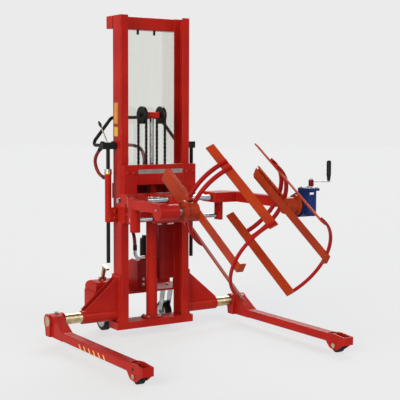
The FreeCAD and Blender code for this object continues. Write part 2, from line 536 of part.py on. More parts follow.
def make_rear_chassis():
    """Deck behind the mast with its two swivel casters, the pump set and the oil tank."""
    plate = box("deck_plate", ("-deck_width / 2", "deck_width / 2"), ("mast_back", "mast_y + deck_back"),
                ("deck_bottom", "deck_top"))
    lip = box("deck_lip_bar", ("-deck_width / 2", "deck_width / 2"),
              ("mast_y + deck_back - deck_thickness", "mast_y + deck_back"),
              ("deck_top", "deck_top + deck_lip"))
    webs = [box(f"deck_web_{side}",
                (f"{sign} * web_offset - web_thickness / 2", f"{sign} * web_offset + web_thickness / 2"),
                ("mast_back", "mast_y + hood_front"), ("deck_top", "deck_top + web_height"))
            for side, sign in (("near", -1), ("far", 1))]
    stems = [rod(f"stem_hole_{side}", "Z", "deck_bottom - 1", "deck_top + 1",
                 "caster_stem + 2 * running_gap", x=f"{sign} * caster_offset", y="caster_y")
             for side, sign in (("near", -1), ("far", 1))]
    node(cut("deck", fuse("deck_weldment", plate, lip, *webs), *stems), "rear_deck")

    crown = rod("caster_crown", "Z", "crown_bottom", "crown_top", "caster_crown",
                x="-caster_offset", y="caster_y")
    stem = rod("caster_stem", "Z", "crown_bottom", "deck_top", "caster_stem",
               x="-caster_offset", y="caster_y")
    blades = []
    for side, start in (("outer", "-caster_offset - fork_outer"), ("inner", "-caster_offset + fork_inner")):
        blade = padded(f"caster_blade_{side}", "YZ", [
            ("caster_y - 30", "crown_top"), ("caster_y + 30", "crown_top"),
            ("caster_axle_y + 20", "caster_axle_z"), ("caster_axle_y + 8", "caster_axle_z - 20"),
            ("caster_axle_y - 8", "caster_axle_z - 20"), ("caster_axle_y - 20", "caster_axle_z"),
        ], "caster_fork_plate")
        blades.append(move(blade, x=start))
    axle = rod("caster_axle", "X", "-caster_offset - fork_outer - 5", "-caster_offset + fork_outer + 5",
               "caster_axle", y="caster_axle_y", z="caster_axle_z")
    fork = fuse("caster_fork", crown, stem, *blades, axle)
    wheel = revolved("caster_wheel", "XY", wheel_outline("caster_wheel_diameter", "caster_wheel_width",
                                                         "caster_axle / 2 + running_gap"), "H_Axis")
    move(wheel, x="-caster_offset", y="caster_axle_y", z="caster_axle_z")
    for thing, name in ((fork, "caster_fork"), (wheel, "caster_wheel")):
        node(thing, name + "_near")
        node(mirrored(name + "_far", thing), name + "_far")

    hood_x = ("-hood_outer", "-hood_inner")
    hood_y = ("mast_y + hood_front", "mast_y + hood_back")
    shell = rounded_box("hood_shell", hood_x, hood_y, ("deck_top", "hood_top"), "hood_round",
                        lambda middle: middle.z > 1 and (middle.x < -1 or abs(middle.y) > 1))
    inside = box("hood_inside", ("-hood_outer + hood_wall", "-hood_inner - hood_wall"),
                 ("mast_y + hood_front + hood_wall", "mast_y + hood_back - hood_wall"),
                 ("deck_top - 1", "hood_top - hood_round"))
    skirt = rounded_box("hood_skirt", ("-skirt_outer", "-skirt_outer + skirt_thickness"),
                        hood_y, ("skirt_bottom", "skirt_top"), "skirt_thickness * 0.9",
                        lambda middle: middle.x < -1)
    lugs = []
    for side, sign in (("near", -1), ("far", 1)):
        ends = side_span(sign, "release_width / 2 + caster_gap", "release_width / 2 + release_lug")
        lugs.append(box(f"release_lug_{side}", tuple(f"-release_offset + ({end})" for end in ends),
                        ("release_y - release_lug", "release_y + release_lug"),
                        ("hood_top - hood_wall", "hood_top + release_lug_height / 2 + release_pin / 2")))
    pin_hole = rod("release_hole", "X", "-release_offset - 60", "-release_offset + 60",
                   "release_pin + 2 * running_gap", y="release_y", z="hood_top + release_lug_height / 2")
    hood = cut("hood", fuse("hood_weldment", cut("hood_open", shell, inside), skirt, *lugs), pin_hole)
    node(hood, "pump_housing")

    arm = padded("release_bent_bar", "YZ", [
        ("-release_bar / 2", "-release_bar / 2"), ("release_bar / 2", "-release_bar / 2"),
        ("-release_height / 2.4 + release_bar", "release_height"),
        ("-release_height / 2.4 - release_foot", "release_height - release_bar"),
        ("-release_height / 2.4 - release_foot", "release_height - 2 * release_bar"),
        ("-release_height / 2.4 - release_bar / 4", "release_height - release_bar * 1.2"),
    ], "release_width", midplane=True)
    cross_pin = rod("release_cross_pin", "X", "-release_width / 2 - release_lug",
                    "release_width / 2 + release_lug", "release_pin")
    release = fuse("release", arm, cross_pin)
    move(release, x="-release_offset", y="release_y", z="hood_top + release_lug_height / 2")
    node(release, "release_lever")

    node(rounded_box("pump_body", ("motor_offset - pump_width / 2", "motor_offset + pump_width / 2"),
                     ("pump_y", "pump_y + pump_depth"), ("deck_top", "pump_top"), "tank_round",
                     lambda middle: middle.z > 1), "pump_block")
    can = rod("motor_can", "Z", "pump_top", "pump_top + motor_height", "motor_diameter",
              x="motor_x", y="motor_y")
    cap = rod("motor_cap", "Z", "pump_top + motor_height", "motor_top", "motor_diameter * 0.6",
              x="motor_x", y="motor_y")
    node(fuse("motor", can, cap), "pump_motor")

    body = rounded_box("tank_body", ("tank_inner_offset", "tank_outer_offset"),
                       ("mast_back", "mast_back + tank_depth"), ("tank_bottom", "tank_bottom + tank_height"),
                       "tank_round", lambda middle: abs(middle.z) < 1)
    filler = rod("tank_filler", "Z", "tank_bottom + tank_height",
                 "tank_bottom + tank_height + filler_height", "filler_diameter",
                 x="(tank_inner_offset + tank_outer_offset) / 2", y="mast_back + tank_depth / 2")
    node(fuse("tank", body, filler), "oil_tank")


def make_lift():
    """Lift cylinder, its rod and crosshead, two chain sheaves and the chains."""
    barrel = rod("barrel", "Z", "sill_top", "cylinder_top", "cylinder_diameter", y="column_y")
    foot = box("barrel_foot", ("-cylinder_foot / 2", "cylinder_foot / 2"),
               ("column_y - cylinder_foot / 2 + 6", "column_y + cylinder_foot / 2 - 6"),
               ("sill_top", "sill_top + cylinder_foot_height"))
    band = rod("barrel_band", "Z", "sill_top + band_level", "sill_top + band_level + band_height",
               "cylinder_diameter + 2 * band_step", y="column_y")
    bore = rod("barrel_bore", "Z", "sill_top + cylinder_floor", "cylinder_top + 1", "cylinder_bore",
               y="column_y")
    port = rod("barrel_port", "X", "-pipe_port", "0", "port_diameter", y="column_y", z="pipe_level")
    node(cut("lift_barrel", fuse("lift_weldment", barrel, foot, band, port), bore), "lift_cylinder")
    gland = rod("gland_ring", "Z", "cylinder_top", "cylinder_top + gland_height", "gland_diameter",
                y="column_y")
    gland_bore = rod("gland_bore", "Z", "cylinder_top - 1", "cylinder_top + gland_height + 1",
                     "rod_diameter + 2 * running_gap", y="column_y")
    pipe = doc.addObject("Part::Feature", "port_pipe")
    bend = size("pipe_bend")
    middle = "upright_depth / 2"
    pipe.Shape = bent_tube([place("-pipe_port", middle, "pipe_level"),
                            place("-pipe_offset", middle, "pipe_level"),
                            place("-pipe_offset", middle, "pipe_top")],
                           size("pipe_diameter"), lambda run, turn: bend)
    node(group("gland_and_pipe", cut("gland", gland, gland_bore), pipe), "cylinder_gland")

    shank = rod("rod_shank", "Z", "rod_bottom", "crosshead_bottom", "rod_diameter", y="column_y")
    piston = rod("rod_piston", "Z", "rod_bottom", "rod_bottom + piston_height",
                 "cylinder_bore - 2 * running_gap", y="column_y")
    node(fuse("rod", shank, piston), "piston_rod")

    pin_span = ("-sheave_pin_length / 2", "sheave_pin_length / 2")
    head = rounded_box("crosshead_block", ("-crosshead_width / 2", "crosshead_width / 2"),
                       ("column_y - crosshead_depth / 2", "column_y + crosshead_depth / 2"),
                       ("crosshead_bottom", "crosshead_bottom + crosshead_height"), "tank_round / 2",
                       lambda middle: abs(middle.z) > 1 and abs(middle.x) < 1)
    pin = rod("sheave_pin", "X", *pin_span, "sheave_pin", y="column_y", z="sheave_level")
    node(fuse("crosshead_set", head, pin), "crosshead")

    rim = "sheave_diameter / 2"
    side = "sheave_width / 2"
    half_chain = "chain_width / 2 + chain_gap"
    bore = "sheave_pin / 2 + running_gap"
    sheave = revolved("sheave", "XY", [
        (f"-{side}", bore), (side, bore), (side, f"{rim} - 2"), (f"{side} - 2", rim),
        (half_chain, rim), (half_chain, "sheave_seat"), (f"-({half_chain})", "sheave_seat"),
        (f"-({half_chain})", rim), (f"-{side} + 2", rim), (f"-{side}", f"{rim} - 2"),
    ], "H_Axis")
    move(sheave, x="-sheave_offset", y="column_y", z="sheave_level")
    node(sheave, "sheave_near")
    node(mirrored("sheave_far", sheave), "sheave_far")

    wraps = []
    fronts = []
    rears = []
    for side, sign in (("near", -1), ("far", 1)):
        middle = f"{sign} * sheave_offset"
        x = (f"{middle} - chain_width / 2", f"{middle} + chain_width / 2")
        wrap = revolved(f"chain_wrap_{side}", "XY", [
            ("-chain_width / 2", "chain_inner"), ("chain_width / 2", "chain_inner"),
            ("chain_width / 2", "chain_outer"), ("-chain_width / 2", "chain_outer"),
        ], "H_Axis", angle=180)
        wraps.append(move(wrap, x=middle, y="column_y", z="sheave_level"))
        fronts.append(box(f"chain_front_{side}", x, ("column_y - chain_outer", "column_y - chain_inner"),
                          ("lug_top", "sheave_level")))
        rears.append(box(f"chain_rear_{side}", x, ("column_y + chain_inner", "column_y + chain_outer"),
                         ("tie_bottom + tie_height + anchor_height", "sheave_level")))
    node(group("wraps", *wraps), "chain_wraps")
    node(group("fronts", *fronts), "chain_front_falls")
    node(group("rears", *rears), "chain_rear_falls")


def make_carriage():
    """Carriage in front of the mast: posts, beams, guide shoes, guide shafts and clamp cylinder."""
    depth = ("carriage_front", "carriage_back")
    inner = ("-post_inner_offset", "post_inner_offset")
    pieces = [rounded_box(f"carriage_post_{side}", side_span(sign, "post_inner_offset", "post_outer_offset"),
                          depth, ("carriage_bottom", "carriage_top"), "post_round",
                          lambda middle, sign=sign: abs(middle.z) < 1 and middle.x * sign > 1)
              for side, sign in (("near", -1), ("far", 1))]
    for name, low, high in (("top", "carriage_top - top_beam_height", "carriage_top"),
                            ("middle", "middle_beam_bottom", "middle_beam_top"),
                            ("low", "carriage_bottom", "low_beam_top")):
        solid = box(f"carriage_{name}_beam_solid", inner, depth, (low, high))
        groove = box(f"carriage_{name}_beam_groove", inner,
                     ("carriage_front + beam_wall", "carriage_back + 1"),
                     (f"{low} + beam_wall", f"{high} - beam_wall"))
        pieces.append(cut(f"carriage_{name}_beam", solid, groove))
    saddle_x = ("-saddle_half_width", "saddle_half_width")
    pieces.append(box("carriage_saddle", saddle_x, ("saddle_y", "carriage_front"),
                      ("middle_beam_bottom", "middle_beam_top")))
    pieces.append(box("clamp_hanger", ("-clamp_hanger", "clamp_hanger"),
                      ("clamp_y - clamp_barrel / 2", "clamp_y + clamp_barrel / 2"),
                      ("clamp_level", "middle_beam_bottom")))
    shoes = []
    for side, sign in (("near", -1), ("far", 1)):
        middle = f"{sign} * sheave_offset"
        pieces.append(box(f"carriage_lug_{side}", (f"{middle} - lug_width / 2", f"{middle} + lug_width / 2"),
                          ("carriage_front + beam_wall", "column_y - chain_inner"),
                          ("carriage_bottom", "lug_top")))
        arm_x = side_span(sign, "post_inner_offset - shoe_arm_thickness", "post_inner_offset")
        shoe_x = side_span(sign, "post_inner_offset", "channel_inner - shoe_gap")
        for level in ("low", "high"):
            z = f"shoe_level_{level}"
            pieces.append(box(f"shoe_arm_{side}_{level}", arm_x,
                              ("carriage_front + beam_wall", "mast_back - upright_wall - shoe_gap"),
                              (z, f"{z} + shoe_arm_height")))
            shoes.append(box(f"shoe_{side}_{level}", shoe_x,
                             ("mast_y + upright_wall + shoe_gap", "mast_back - upright_wall - shoe_gap"),
                             (f"{z} - 10", f"{z} - 10 + shoe_height")))
    guides = [rod(f"guide_{name}", "X", "-guide_half_length", "guide_half_length", "guide_diameter",
                  y=f"mast_y - guide_{name}", z="guide_level") for name in ("front", "rear")]
    guide_holes = [rod(f"guide_hole_{name}", "X", "-saddle_half_width - 1", "saddle_half_width + 1",
                       "guide_diameter", y=f"mast_y - guide_{name}", z="guide_level")
                   for name in ("front", "rear")]
    barrel_span = ("-clamp_half_length", "clamp_half_length")
    barrel_room = rod("clamp_room", "X", *barrel_span, "clamp_barrel", y="clamp_y", z="clamp_level")
    node(cut("carriage", fuse("carriage_weldment", *pieces), *guide_holes, barrel_room), "carriage_frame")
    node(group("shoes", *shoes), "guide_shoes")
    node(group("guides", *guides), "guide_shafts")

    barrel = rod("clamp_tube", "X", *barrel_span, "clamp_barrel", y="clamp_y", z="clamp_level")
    bore = rod("clamp_bore", "X", "-clamp_half_length + clamp_cap", "clamp_half_length - clamp_cap",
               "clamp_bore", y="clamp_y", z="clamp_level")
    rod_hole = rod("clamp_rod_hole", "X", "-clamp_half_length - 1", "clamp_half_length + 1",
                   "clamp_rod + 2 * running_gap", y="clamp_y", z="clamp_level")
    node(cut("clamp", barrel, bore, rod_hole), "clamp_cylinder")


def make_arms():
    """Clamp arms that slide on the guide shafts, with the clamp rods that drive them.

    The near arm is splayed outward to carry a long pivot bearing, the far arm runs straight to the gearbox.
    """
    for side, sign, outer in (("near", -1, "block_outer_offset"), ("far", 1, "far_arm_offset")):
        plan = [("block_inner_offset", "block_front_y"), ("block_inner_offset", "block_rear_y"),
                (f"{outer} - arm_mitre", "block_rear_y"), (outer, "block_rear_y - arm_mitre * 1.6"),
                (outer, "block_front_y")]
        block = padded(f"arm_block_{side}", "XY", [(f"{sign} * ({x})", y) for x, y in plan], "arm_height")
        move(block, z="arm_bottom")
        lug = box(f"clamp_lug_{side}", side_span(sign, "clamp_lug_offset - clamp_lug_thickness / 2",
                                                 "clamp_lug_offset + clamp_lug_thickness / 2"),
                  ("clamp_y - clamp_barrel / 2", "clamp_y + clamp_barrel / 2"),
                  ("clamp_lug_bottom", "arm_bottom"))
        holes = [rod(f"arm_guide_hole_{name}_{side}", "X", "-guide_half_length - 1", "guide_half_length + 1",
                     "guide_diameter + 2 * running_gap", y=f"mast_y - guide_{name}", z="guide_level")
                 for name in ("front", "rear")]
        start, end = side_span(sign, "clamp_rod_start", "clamp_lug_offset + clamp_lug_thickness / 2")
        shank = rod(f"clamp_rod_shank_{side}", "X", start, end, "clamp_rod", y="clamp_y", z="clamp_level")
        holes.append(rod(f"clamp_lug_hole_{side}", "X", start, end, "clamp_rod",
                         y="clamp_y", z="clamp_level"))
        piston = rod(f"clamp_piston_{side}", "X",
                     *side_span(sign, "clamp_rod_start", "clamp_rod_start + clamp_piston"),
                     "clamp_bore - 2 * running_gap", y="clamp_y", z="clamp_level")
        pieces = near_arm_pieces(holes) if side == "near" else far_arm_pieces(holes)
        weldment = fuse(f"arm_weldment_{side}", block, lug, *pieces)
        node(cut(f"arm_{side}_cut", weldment, *holes), f"arm_{side}")
        node(fuse(f"clamp_rod_set_{side}", shank, piston), f"clamp_rod_{side}")


def near_arm_pieces(holes):
    splay = padded("near_arm_splay", "XY", [
        ("-block_outer_offset", "near_splay_y"), ("-block_outer_offset", "block_rear_y - arm_mitre * 1.6"),
        ("-block_outer_offset + arm_width", "block_rear_y - arm_mitre * 1.6"),
        ("-block_outer_offset + arm_width", "near_splay_y + 12"), ("-near_arm_inner", "near_bend_y + 12"),
        ("-near_arm_inner", "near_front_y"), ("-near_arm_offset", "near_front_y"),
        ("-near_arm_offset", "near_bend_y"),
    ], "near_arm_height")
    move(splay, z="near_arm_bottom")
    bearing = rod("near_bearing", "X", "-near_arm_offset", "-bearing_inner_offset", "bearing_diameter",
                  y="pivot_y", z="pivot_level")
    post = rod("near_hanger_post", "Z", "hanger_post_bottom", "near_arm_bottom + near_arm_height / 2",
               "hanger_post", x="-near_arm_offset + hanger_post / 2", y="hanger_post_y")
    holes.append(rod("near_bearing_bore", "X", "-near_arm_offset + bearing_cap", "-bearing_inner_offset + 1",
                     "pivot_diameter + 2 * running_gap", y="pivot_y", z="pivot_level"))
    return [splay, bearing, post]


def far_arm_pieces(holes):
    beam = box("far_arm_beam", ("far_arm_offset - arm_width", "far_arm_offset"),
               ("pivot_y + wheel_diameter / 4", "block_front_y"), ("arm_bottom", "arm_top"))
    holes.append(gearbox_case("far_arm_case_room"))
    return [beam]


def gearbox_case(name):
    """The round outside of the tilt gearbox about the pivot."""
    return rod(name, "X", "box_offset", "box_offset + box_width", "wheel_diameter + 2 * box_wall + 8",
               y="pivot_y", z="pivot_level")


def tilt(thing):
    """Put a jaw, drawn with its grip axis level along -Y, on the pivot at its resting tilt."""
    return move(thing, y="pivot_y", z="pivot_level", axis=Vector(1, 0, 0), angle="tilt_angle")


def stave(name, front, rear, turn):
    """A flat bar along the grip, turned about the grip axis to its place."""
    bar = padded(name, "XY", [("-stave_outer", f"-{front}"), ("-grip_radius", f"-{front}"),
                              ("-grip_radius", rear), ("-stave_outer", rear)], "stave_width", midplane=True)
    return move(bar, axis=Vector(0, 1, 0), angle=turn)


def hoop(name, middle, bar):
    """A square bar bent round the staves, in the plane at one place along the grip."""
    return revolved(name, "XY", [
        ("-hoop_inner", f"{middle} - {bar} / 2"), ("-hoop_inner", f"{middle} + {bar} / 2"),
        (f"-hoop_inner - {bar}", f"{middle} + {bar} / 2"), (f"-hoop_inner - {bar}", f"{middle} - {bar} / 2"),
    ], "V_Axis", angle="2 * (stave_angle + hoop_overlap)", midplane=True)


def half_cage(side):
    """Staves on a spine and a hub, and the hoops that tie them, drawn on the near side."""
    hoops = group(f"hoops_{side}", hoop(f"hoop_beside_pivot_{side}", "hoop_near", "hoop_bar"),
                  hoop(f"hoop_behind_pivot_{side}", "hoop_far", "hoop_bar"),
                  hoop(f"hoop_at_front_{side}", "-front_hoop", "front_hoop_bar"))
    middle = stave(f"stave_middle_{side}", "pivot_stave_front", "pivot_stave_rear", "0")
    hook = box(f"stave_hook_{side}", ("-grip_radius", "-grip_radius + hook_reach"),
               ("-pivot_stave_front", "-pivot_stave_front + stave_thickness"),
               ("-stave_width / 2", "stave_width / 2"))
    back = f"-stave_outer - spine_depth_{side}"
    spine = rounded_box(f"spine_tube_{side}", (back, "-stave_outer"), ("spine_front", "pivot_stave_rear"),
                        ("-spine_height / 2", "spine_height / 2"), "spine_round",
                        lambda middle: abs(middle.y) < 1 and middle.x < -1)
    hollow = box(f"spine_hollow_{side}", (f"{back} + spine_wall", "-stave_outer"),
                 ("hub_diameter / 2 + spine_wall", "pivot_stave_rear + 1"),
                 ("-spine_height / 2 + spine_wall", "spine_height / 2 - spine_wall"))
    hub = rod(f"hub_drum_{side}", "X", "-hub_end_offset", "-stave_outer", "hub_diameter")
    flange = rod(f"hub_flange_{side}", "X", "-hub_end_offset", "-hub_end_offset + flange_thickness",
                 "flange_diameter")
    shaft_hole = rod(f"hub_hole_{side}", "X", "-hub_end_offset - 1", "-pivot_start", "pivot_diameter")
    root = cut(f"stave_root_{side}", fuse(f"stave_set_{side}", middle, hook, hub, flange,
                                          cut(f"spine_{side}", spine, hollow)), shaft_hole)
    sides = [stave(f"stave_{name}_{side}", "side_stave_front", "side_stave_rear", turn)
             for name, turn in (("upper", "stave_angle"), ("lower", "-stave_angle"))]
    staves = cut(f"staves_notched_{side}", group(f"staves_{side}", root, *sides), hoops)
    return tilt(staves), tilt(group(f"hoops_tilted_{side}", hoops))


def make_jaws():
    """Two half cages that turn in the arms, and the pivot shafts they turn on."""
    staves, hoops = half_cage("near")
    node(staves, "jaw_staves_near")
    node(hoops, "jaw_hoops_near")
    staves, hoops = half_cage("far")
    node(mirrored("staves_twin", staves), "jaw_staves_far")
    node(mirrored("hoops_twin", hoops), "jaw_hoops_far")

    node(rod("pivot_near", "X", "-pivot_end", "-pivot_start", "pivot_diameter",
             y="pivot_y", z="pivot_level"), "pivot_shaft_near")
    far = rod("pivot_far_shank", "X", "pivot_start", "wheel_start + wheel_width", "pivot_diameter",
              y="pivot_y", z="pivot_level")
    wheel = rod("worm_wheel", "X", "wheel_start", "wheel_start + wheel_width", "wheel_diameter",
                y="pivot_y", z="pivot_level")
    node(fuse("pivot_far", far, wheel), "pivot_shaft_far")


def make_tilt_drive():
    """Worm gearbox on the far arm, turned by a crank above it."""
    box_end = "box_offset + box_width"
    case = gearbox_case("box_case")
    worm_case = rod("box_worm_case", "Z", "pivot_level - worm_housing_low", "lid_bottom", "worm_housing",
                    x="worm_x", y="worm_y")
    lid = box("box_lid", ("box_offset", box_end),
              ("worm_y - worm_housing / 2", "worm_y - worm_housing / 2 + lid_length"),
              ("lid_bottom", "lid_top"))
    neck = box("box_neck", ("box_offset", box_end), ("worm_y", "worm_y - worm_housing / 2 + lid_length"),
               ("pivot_level", "lid_bottom"))
    wheel_room = rod("box_wheel_room", "X", "box_offset + box_wall", f"{box_end} - box_wall",
                     "wheel_diameter + 8", y="pivot_y", z="pivot_level")
    worm_room = rod("box_worm_room", "Z", "pivot_level - worm_housing_low + box_wall",
                    "lid_bottom - box_wall", "worm_diameter + 4", x="worm_x", y="worm_y")
    shaft_hole = rod("box_pivot_hole", "X", "box_offset - 1", "box_offset + box_wall + 1",
                     "pivot_diameter + 2 * running_gap", y="pivot_y", z="pivot_level")
    worm_hole = rod("box_worm_hole", "Z", "pivot_level - worm_housing_low + box_wall / 2", "lid_top + 1",
                    "worm_shaft + 2 * running_gap", x="worm_x", y="worm_y")
    node(cut("gearbox", fuse("gearbox_casting", case, worm_case, neck, lid),
             wheel_room, worm_room, shaft_hole, worm_hole), "tilt_gearbox")

    shaft = rod("worm_bar", "Z", "pivot_level - worm_housing_low + box_wall / 2 + running_gap",
                "crank_hub_z", "worm_shaft", x="worm_x", y="worm_y")
    worm = rod("worm_body", "Z", "pivot_level - worm_length / 2", "pivot_level + worm_length / 2",
               "worm_diameter", x="worm_x", y="worm_y")

    hub = rod("crank_hub", "Z", "crank_hub_z", "crank_hub_z + crank_hub_height", "crank_hub")
    node(move(hub, x="worm_x", y="worm_y", z="crank_hub_z"), "crank_hub")
    bar = box("crank_bar", ("crank_hub / 2", "crank_length + crank_bar_width / 2"),
              ("-crank_bar_width / 2", "crank_bar_width / 2"), ("0", "crank_bar_thickness"))
    seat = box("crank_bar_root", ("0", "crank_hub / 2"), ("-crank_bar_width / 2", "crank_bar_width / 2"),
               ("0", "crank_bar_thickness"))
    hub_room = rod("crank_hub_room", "Z", "-1", "crank_bar_thickness + 1", "crank_hub")
    pin = rod("crank_pin", "Z", "0", "crank_bar_thickness + grip_gap + grip_length", "crank_pin",
              x="crank_length")
    crank = cut("crank", fuse("crank_set", bar, seat, pin), hub_room)
    move(crank, x="worm_x", y="worm_y", z="crank_bar_z", axis=Vector(0, 0, 1), angle="crank_turn")
    node(group("crank_and_worm", crank, fuse("worm_set", shaft, worm)), "crank_shaft")
    grip = revolved("grip", "XZ", [
        ("crank_pin / 2 + running_gap", "0"), ("grip_foot / 2", "0"), ("grip_top / 2", "grip_length * 0.3"),
        ("grip_top / 2", "grip_length - 6"), ("grip_top / 2 - 6", "grip_length"),
        ("crank_pin / 2 + running_gap", "grip_length"),
    ], "V_Axis")
    move(grip, x="worm_x + crank_length * cos(crank_turn * 1 deg)",
         y="worm_y + crank_length * sin(crank_turn * 1 deg)", z="grip_bottom")
    node(grip, "crank_grip")


def make_handle():
    """Push handle on two posts beside the mast, with the valve block, its lever and its hoses."""
    posts = []
    sleeves = []
    collars = []
    for side, sign in (("near", -1), ("far", 1)):
        x = f"{sign} * post_offset"
        posts.append(rod(f"post_{side}", "Z", "post_bottom", "valve_bottom", "post_diameter",
                         x=x, y="post_y"))
        tube = rod(f"sleeve_tube_{side}", "Z", "sleeve_tube_bottom", "sleeve_tube_top", "sleeve_tube",
                   x=x, y="post_y")
        ends = side_span(sign, "mast_side", "post_offset")
        bracket = box(f"sleeve_bracket_{side}", ends,
                      ("post_y - bracket_depth / 2", "post_y + bracket_depth / 2"),
                      ("sleeve_tube_bottom", "sleeve_tube_bottom + bracket_height"))
        hole = rod(f"sleeve_tube_hole_{side}", "Z", "sleeve_tube_bottom - 1", "sleeve_tube_top + 1",
                   "post_diameter", x=x, y="post_y")
        pieces = [tube, bracket]
        if side == "near":
            pieces.append(rod("sleeve_port", "Y", "post_y", "mast_y + sleeve_port_back", "port_diameter",
                              x=x, z="sleeve_port_level"))
        sleeves.append(cut(f"post_sleeve_{side}", fuse(f"sleeve_set_{side}", *pieces), hole))
        ring = rod(f"collar_ring_{side}", "Z", "sleeve_tube_top", "sleeve_tube_top + collar_height",
                   "collar_diameter", x=x, y="post_y")
        ring_hole = rod(f"collar_hole_{side}", "Z", "sleeve_tube_top - 1",
                        "sleeve_tube_top + collar_height + 1", "post_diameter", x=x, y="post_y")
        collars.append(cut(f"collar_{side}", ring, ring_hole))
    node(group("sleeves", *sleeves), "post_sleeves")
    node(group("collars", *collars), "post_collars")

    block_y = ("post_y - valve_depth / 2", "post_y + valve_depth / 2")
    block = box("valve_body", ("-post_offset - valve_width / 2", "-post_offset + valve_width / 2"), block_y,
                ("valve_bottom", "valve_top"))
    slot = box("valve_slot", ("-post_offset - lever_boss / 2 - lever_slot_gap",
                              "-post_offset + lever_boss / 2 + lever_slot_gap"),
               ("post_y - lever_boss", "mast_y + port_end + 1"), ("valve_top - lever_boss", "valve_top + 1"))
    pin_hole = rod("valve_pin_hole", "X", "-post_offset - lever_boss", "-post_offset + lever_boss",
                   "lever_diameter + 2 * running_gap", y="post_y", z="valve_top - lever_boss / 2")
    feed_port = rod("valve_port_feed", "Y", "post_y", "mast_y + port_end", "port_diameter",
                    x="-feed_port_offset", z="feed_port_level")
    return_port = rod("valve_port_return", "Z", "-return_port_depth", "0", "port_diameter")
    sloped = group("valve_port_sloped", return_port)
    move(sloped, x="-return_port_offset", y="mast_y + port_end", z="return_port_level",
         axis=Vector(1, 0, 0), angle="-90 - return_port_dip")
    node(cut("valve", fuse("valve_casting", block, feed_port, sloped), slot, pin_hole), "valve_block")
    elbow = box("elbow_block", ("post_offset - elbow_width / 2", "post_offset + elbow_width / 2"), block_y,
                ("valve_bottom", "valve_top"))
    node(group("posts", posts[0], fuse("far_post", posts[1], elbow)), "handle_posts")

    lever_pin = rod("lever_pin", "X", "-lever_boss + running_gap", "lever_boss - running_gap",
                    "lever_diameter")
    boss = rod("lever_boss_round", "X", "-lever_boss / 2", "lever_boss / 2",
               "lever_boss - 2 * lever_slot_gap")
    stick = rod("lever_stick", "Z", "0", "lever_length", "lever_diameter")
    lever = fuse("lever", lever_pin, boss, stick)
    lean = {"x": "-post_offset", "y": "post_y", "z": "valve_top - lever_boss / 2",
            "axis": Vector(1, 0, 0), "angle": "lever_lean"}
    move(lever, **lean)
    node(lever, "valve_lever")
    knob = revolved("knob", "XZ", [
        ("0", "lever_length"), ("knob_diameter / 2 - 4", "lever_length"),
        ("knob_diameter / 2", "lever_length + knob_length / 2"),
        ("knob_diameter / 2 - 4", "lever_length + knob_length"), ("0", "lever_length + knob_length"),
    ], "V_Axis")
    move(knob, **lean)
    node(knob, "lever_knob")

    route = [place("-post_offset", "valve_back", "handle_level"),
             place("-post_offset", "valve_back + handle_spigot", "handle_level"),
             place("-handle_half_width", "handle_setback", "handle_level"),
             place("-handle_top_half_width", "handle_setback", "handle_top"),
             place("handle_top_half_width", "handle_setback", "handle_top"),
             place("handle_half_width", "handle_setback", "handle_level"),
             place("post_offset", "valve_back + handle_spigot", "handle_level"),
             place("post_offset", "valve_back", "handle_level")]
    handle = doc.addObject("Part::Feature", "handle")
    bend = size("handle_bend")
    handle.Shape = bent_tube(route, size("handle_diameter"), lambda run, turn: bend)
    node(handle, "push_handle")


# Hose routes between the ports: sideways, behind the mast's front plane, and up.
VALVE_HOSE = [
    ("-return_port_offset", "port_end", "return_port_level"),
    ("-return_port_offset", "return_bend_back", "return_bend_level"),
    (-320, 210, "sleeve_port_level + 54"), ("-post_offset", 156, "sleeve_port_level"),
    ("-post_offset", "sleeve_port_back", "sleeve_port_level"),
]
PUMP_HOSE = [
    ("-feed_port_offset", "port_end", "feed_port_level"), ("-feed_port_offset", 182, "feed_port_level"),
    (-225, 235, "feed_port_level"), (-150, 238, "handle_level"), (-4, 238, "handle_level - 4"),
    (46, 237, "handle_level - 54"), (44, 228, 1050), (20, 208, 940), (-24, 186, 836), (-72, 160, 740),
    (-108, 118, 672), ("-pipe_offset", "upright_depth / 2", 614),
    ("-pipe_offset", "upright_depth / 2", "pipe_top"),
]


def make_hoses():
    """Hydraulic hoses from the valve block to its post sleeve and to the lift cylinder's pipe."""
    for name, points in (("valve_hose", VALVE_HOSE), ("pump_hose", PUMP_HOSE)):
        hose = doc.addObject("Part::Feature", name)
        route = [place(*point) for point in points]
        hose.Shape = bent_tube(route, size("hose_diameter"),
                               lambda run, turn: 0.45 * run / math.tan(turn / 2))
        node(hose, name)


def check_and_write():
    doc.recompute()
    broken = [thing.Label for thing in doc.Objects if {"Invalid", "Error"} & set(thing.State)]
    if broken:
        raise RuntimeError(f"did not build: {broken}")
    os.makedirs("parts", exist_ok=True)
    for piece in nodes:
        if piece.Shape.isNull() or not piece.Shape.isValid():
            raise RuntimeError(f"{piece.Label} has no valid shape")
        piece.Shape.exportStep(f"parts/{piece.Label}.step")
    print(len(nodes), "pieces written")


fill_sheet()
make_mast()
make_leg()
make_rear_chassis()
make_lift()
make_carriage()
make_arms()
make_jaws()
make_tilt_drive()
make_handle()
make_hoses()
check_and_write()
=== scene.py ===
"""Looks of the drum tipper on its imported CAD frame: finishes, hoses, chains, bolts, welds, plates.

Lengths are in metres where nothing else is said. The legs point along -Y, near is -X, far is +X.
"""

import math

import bmesh
import bpy
from mathutils import Matrix, Vector


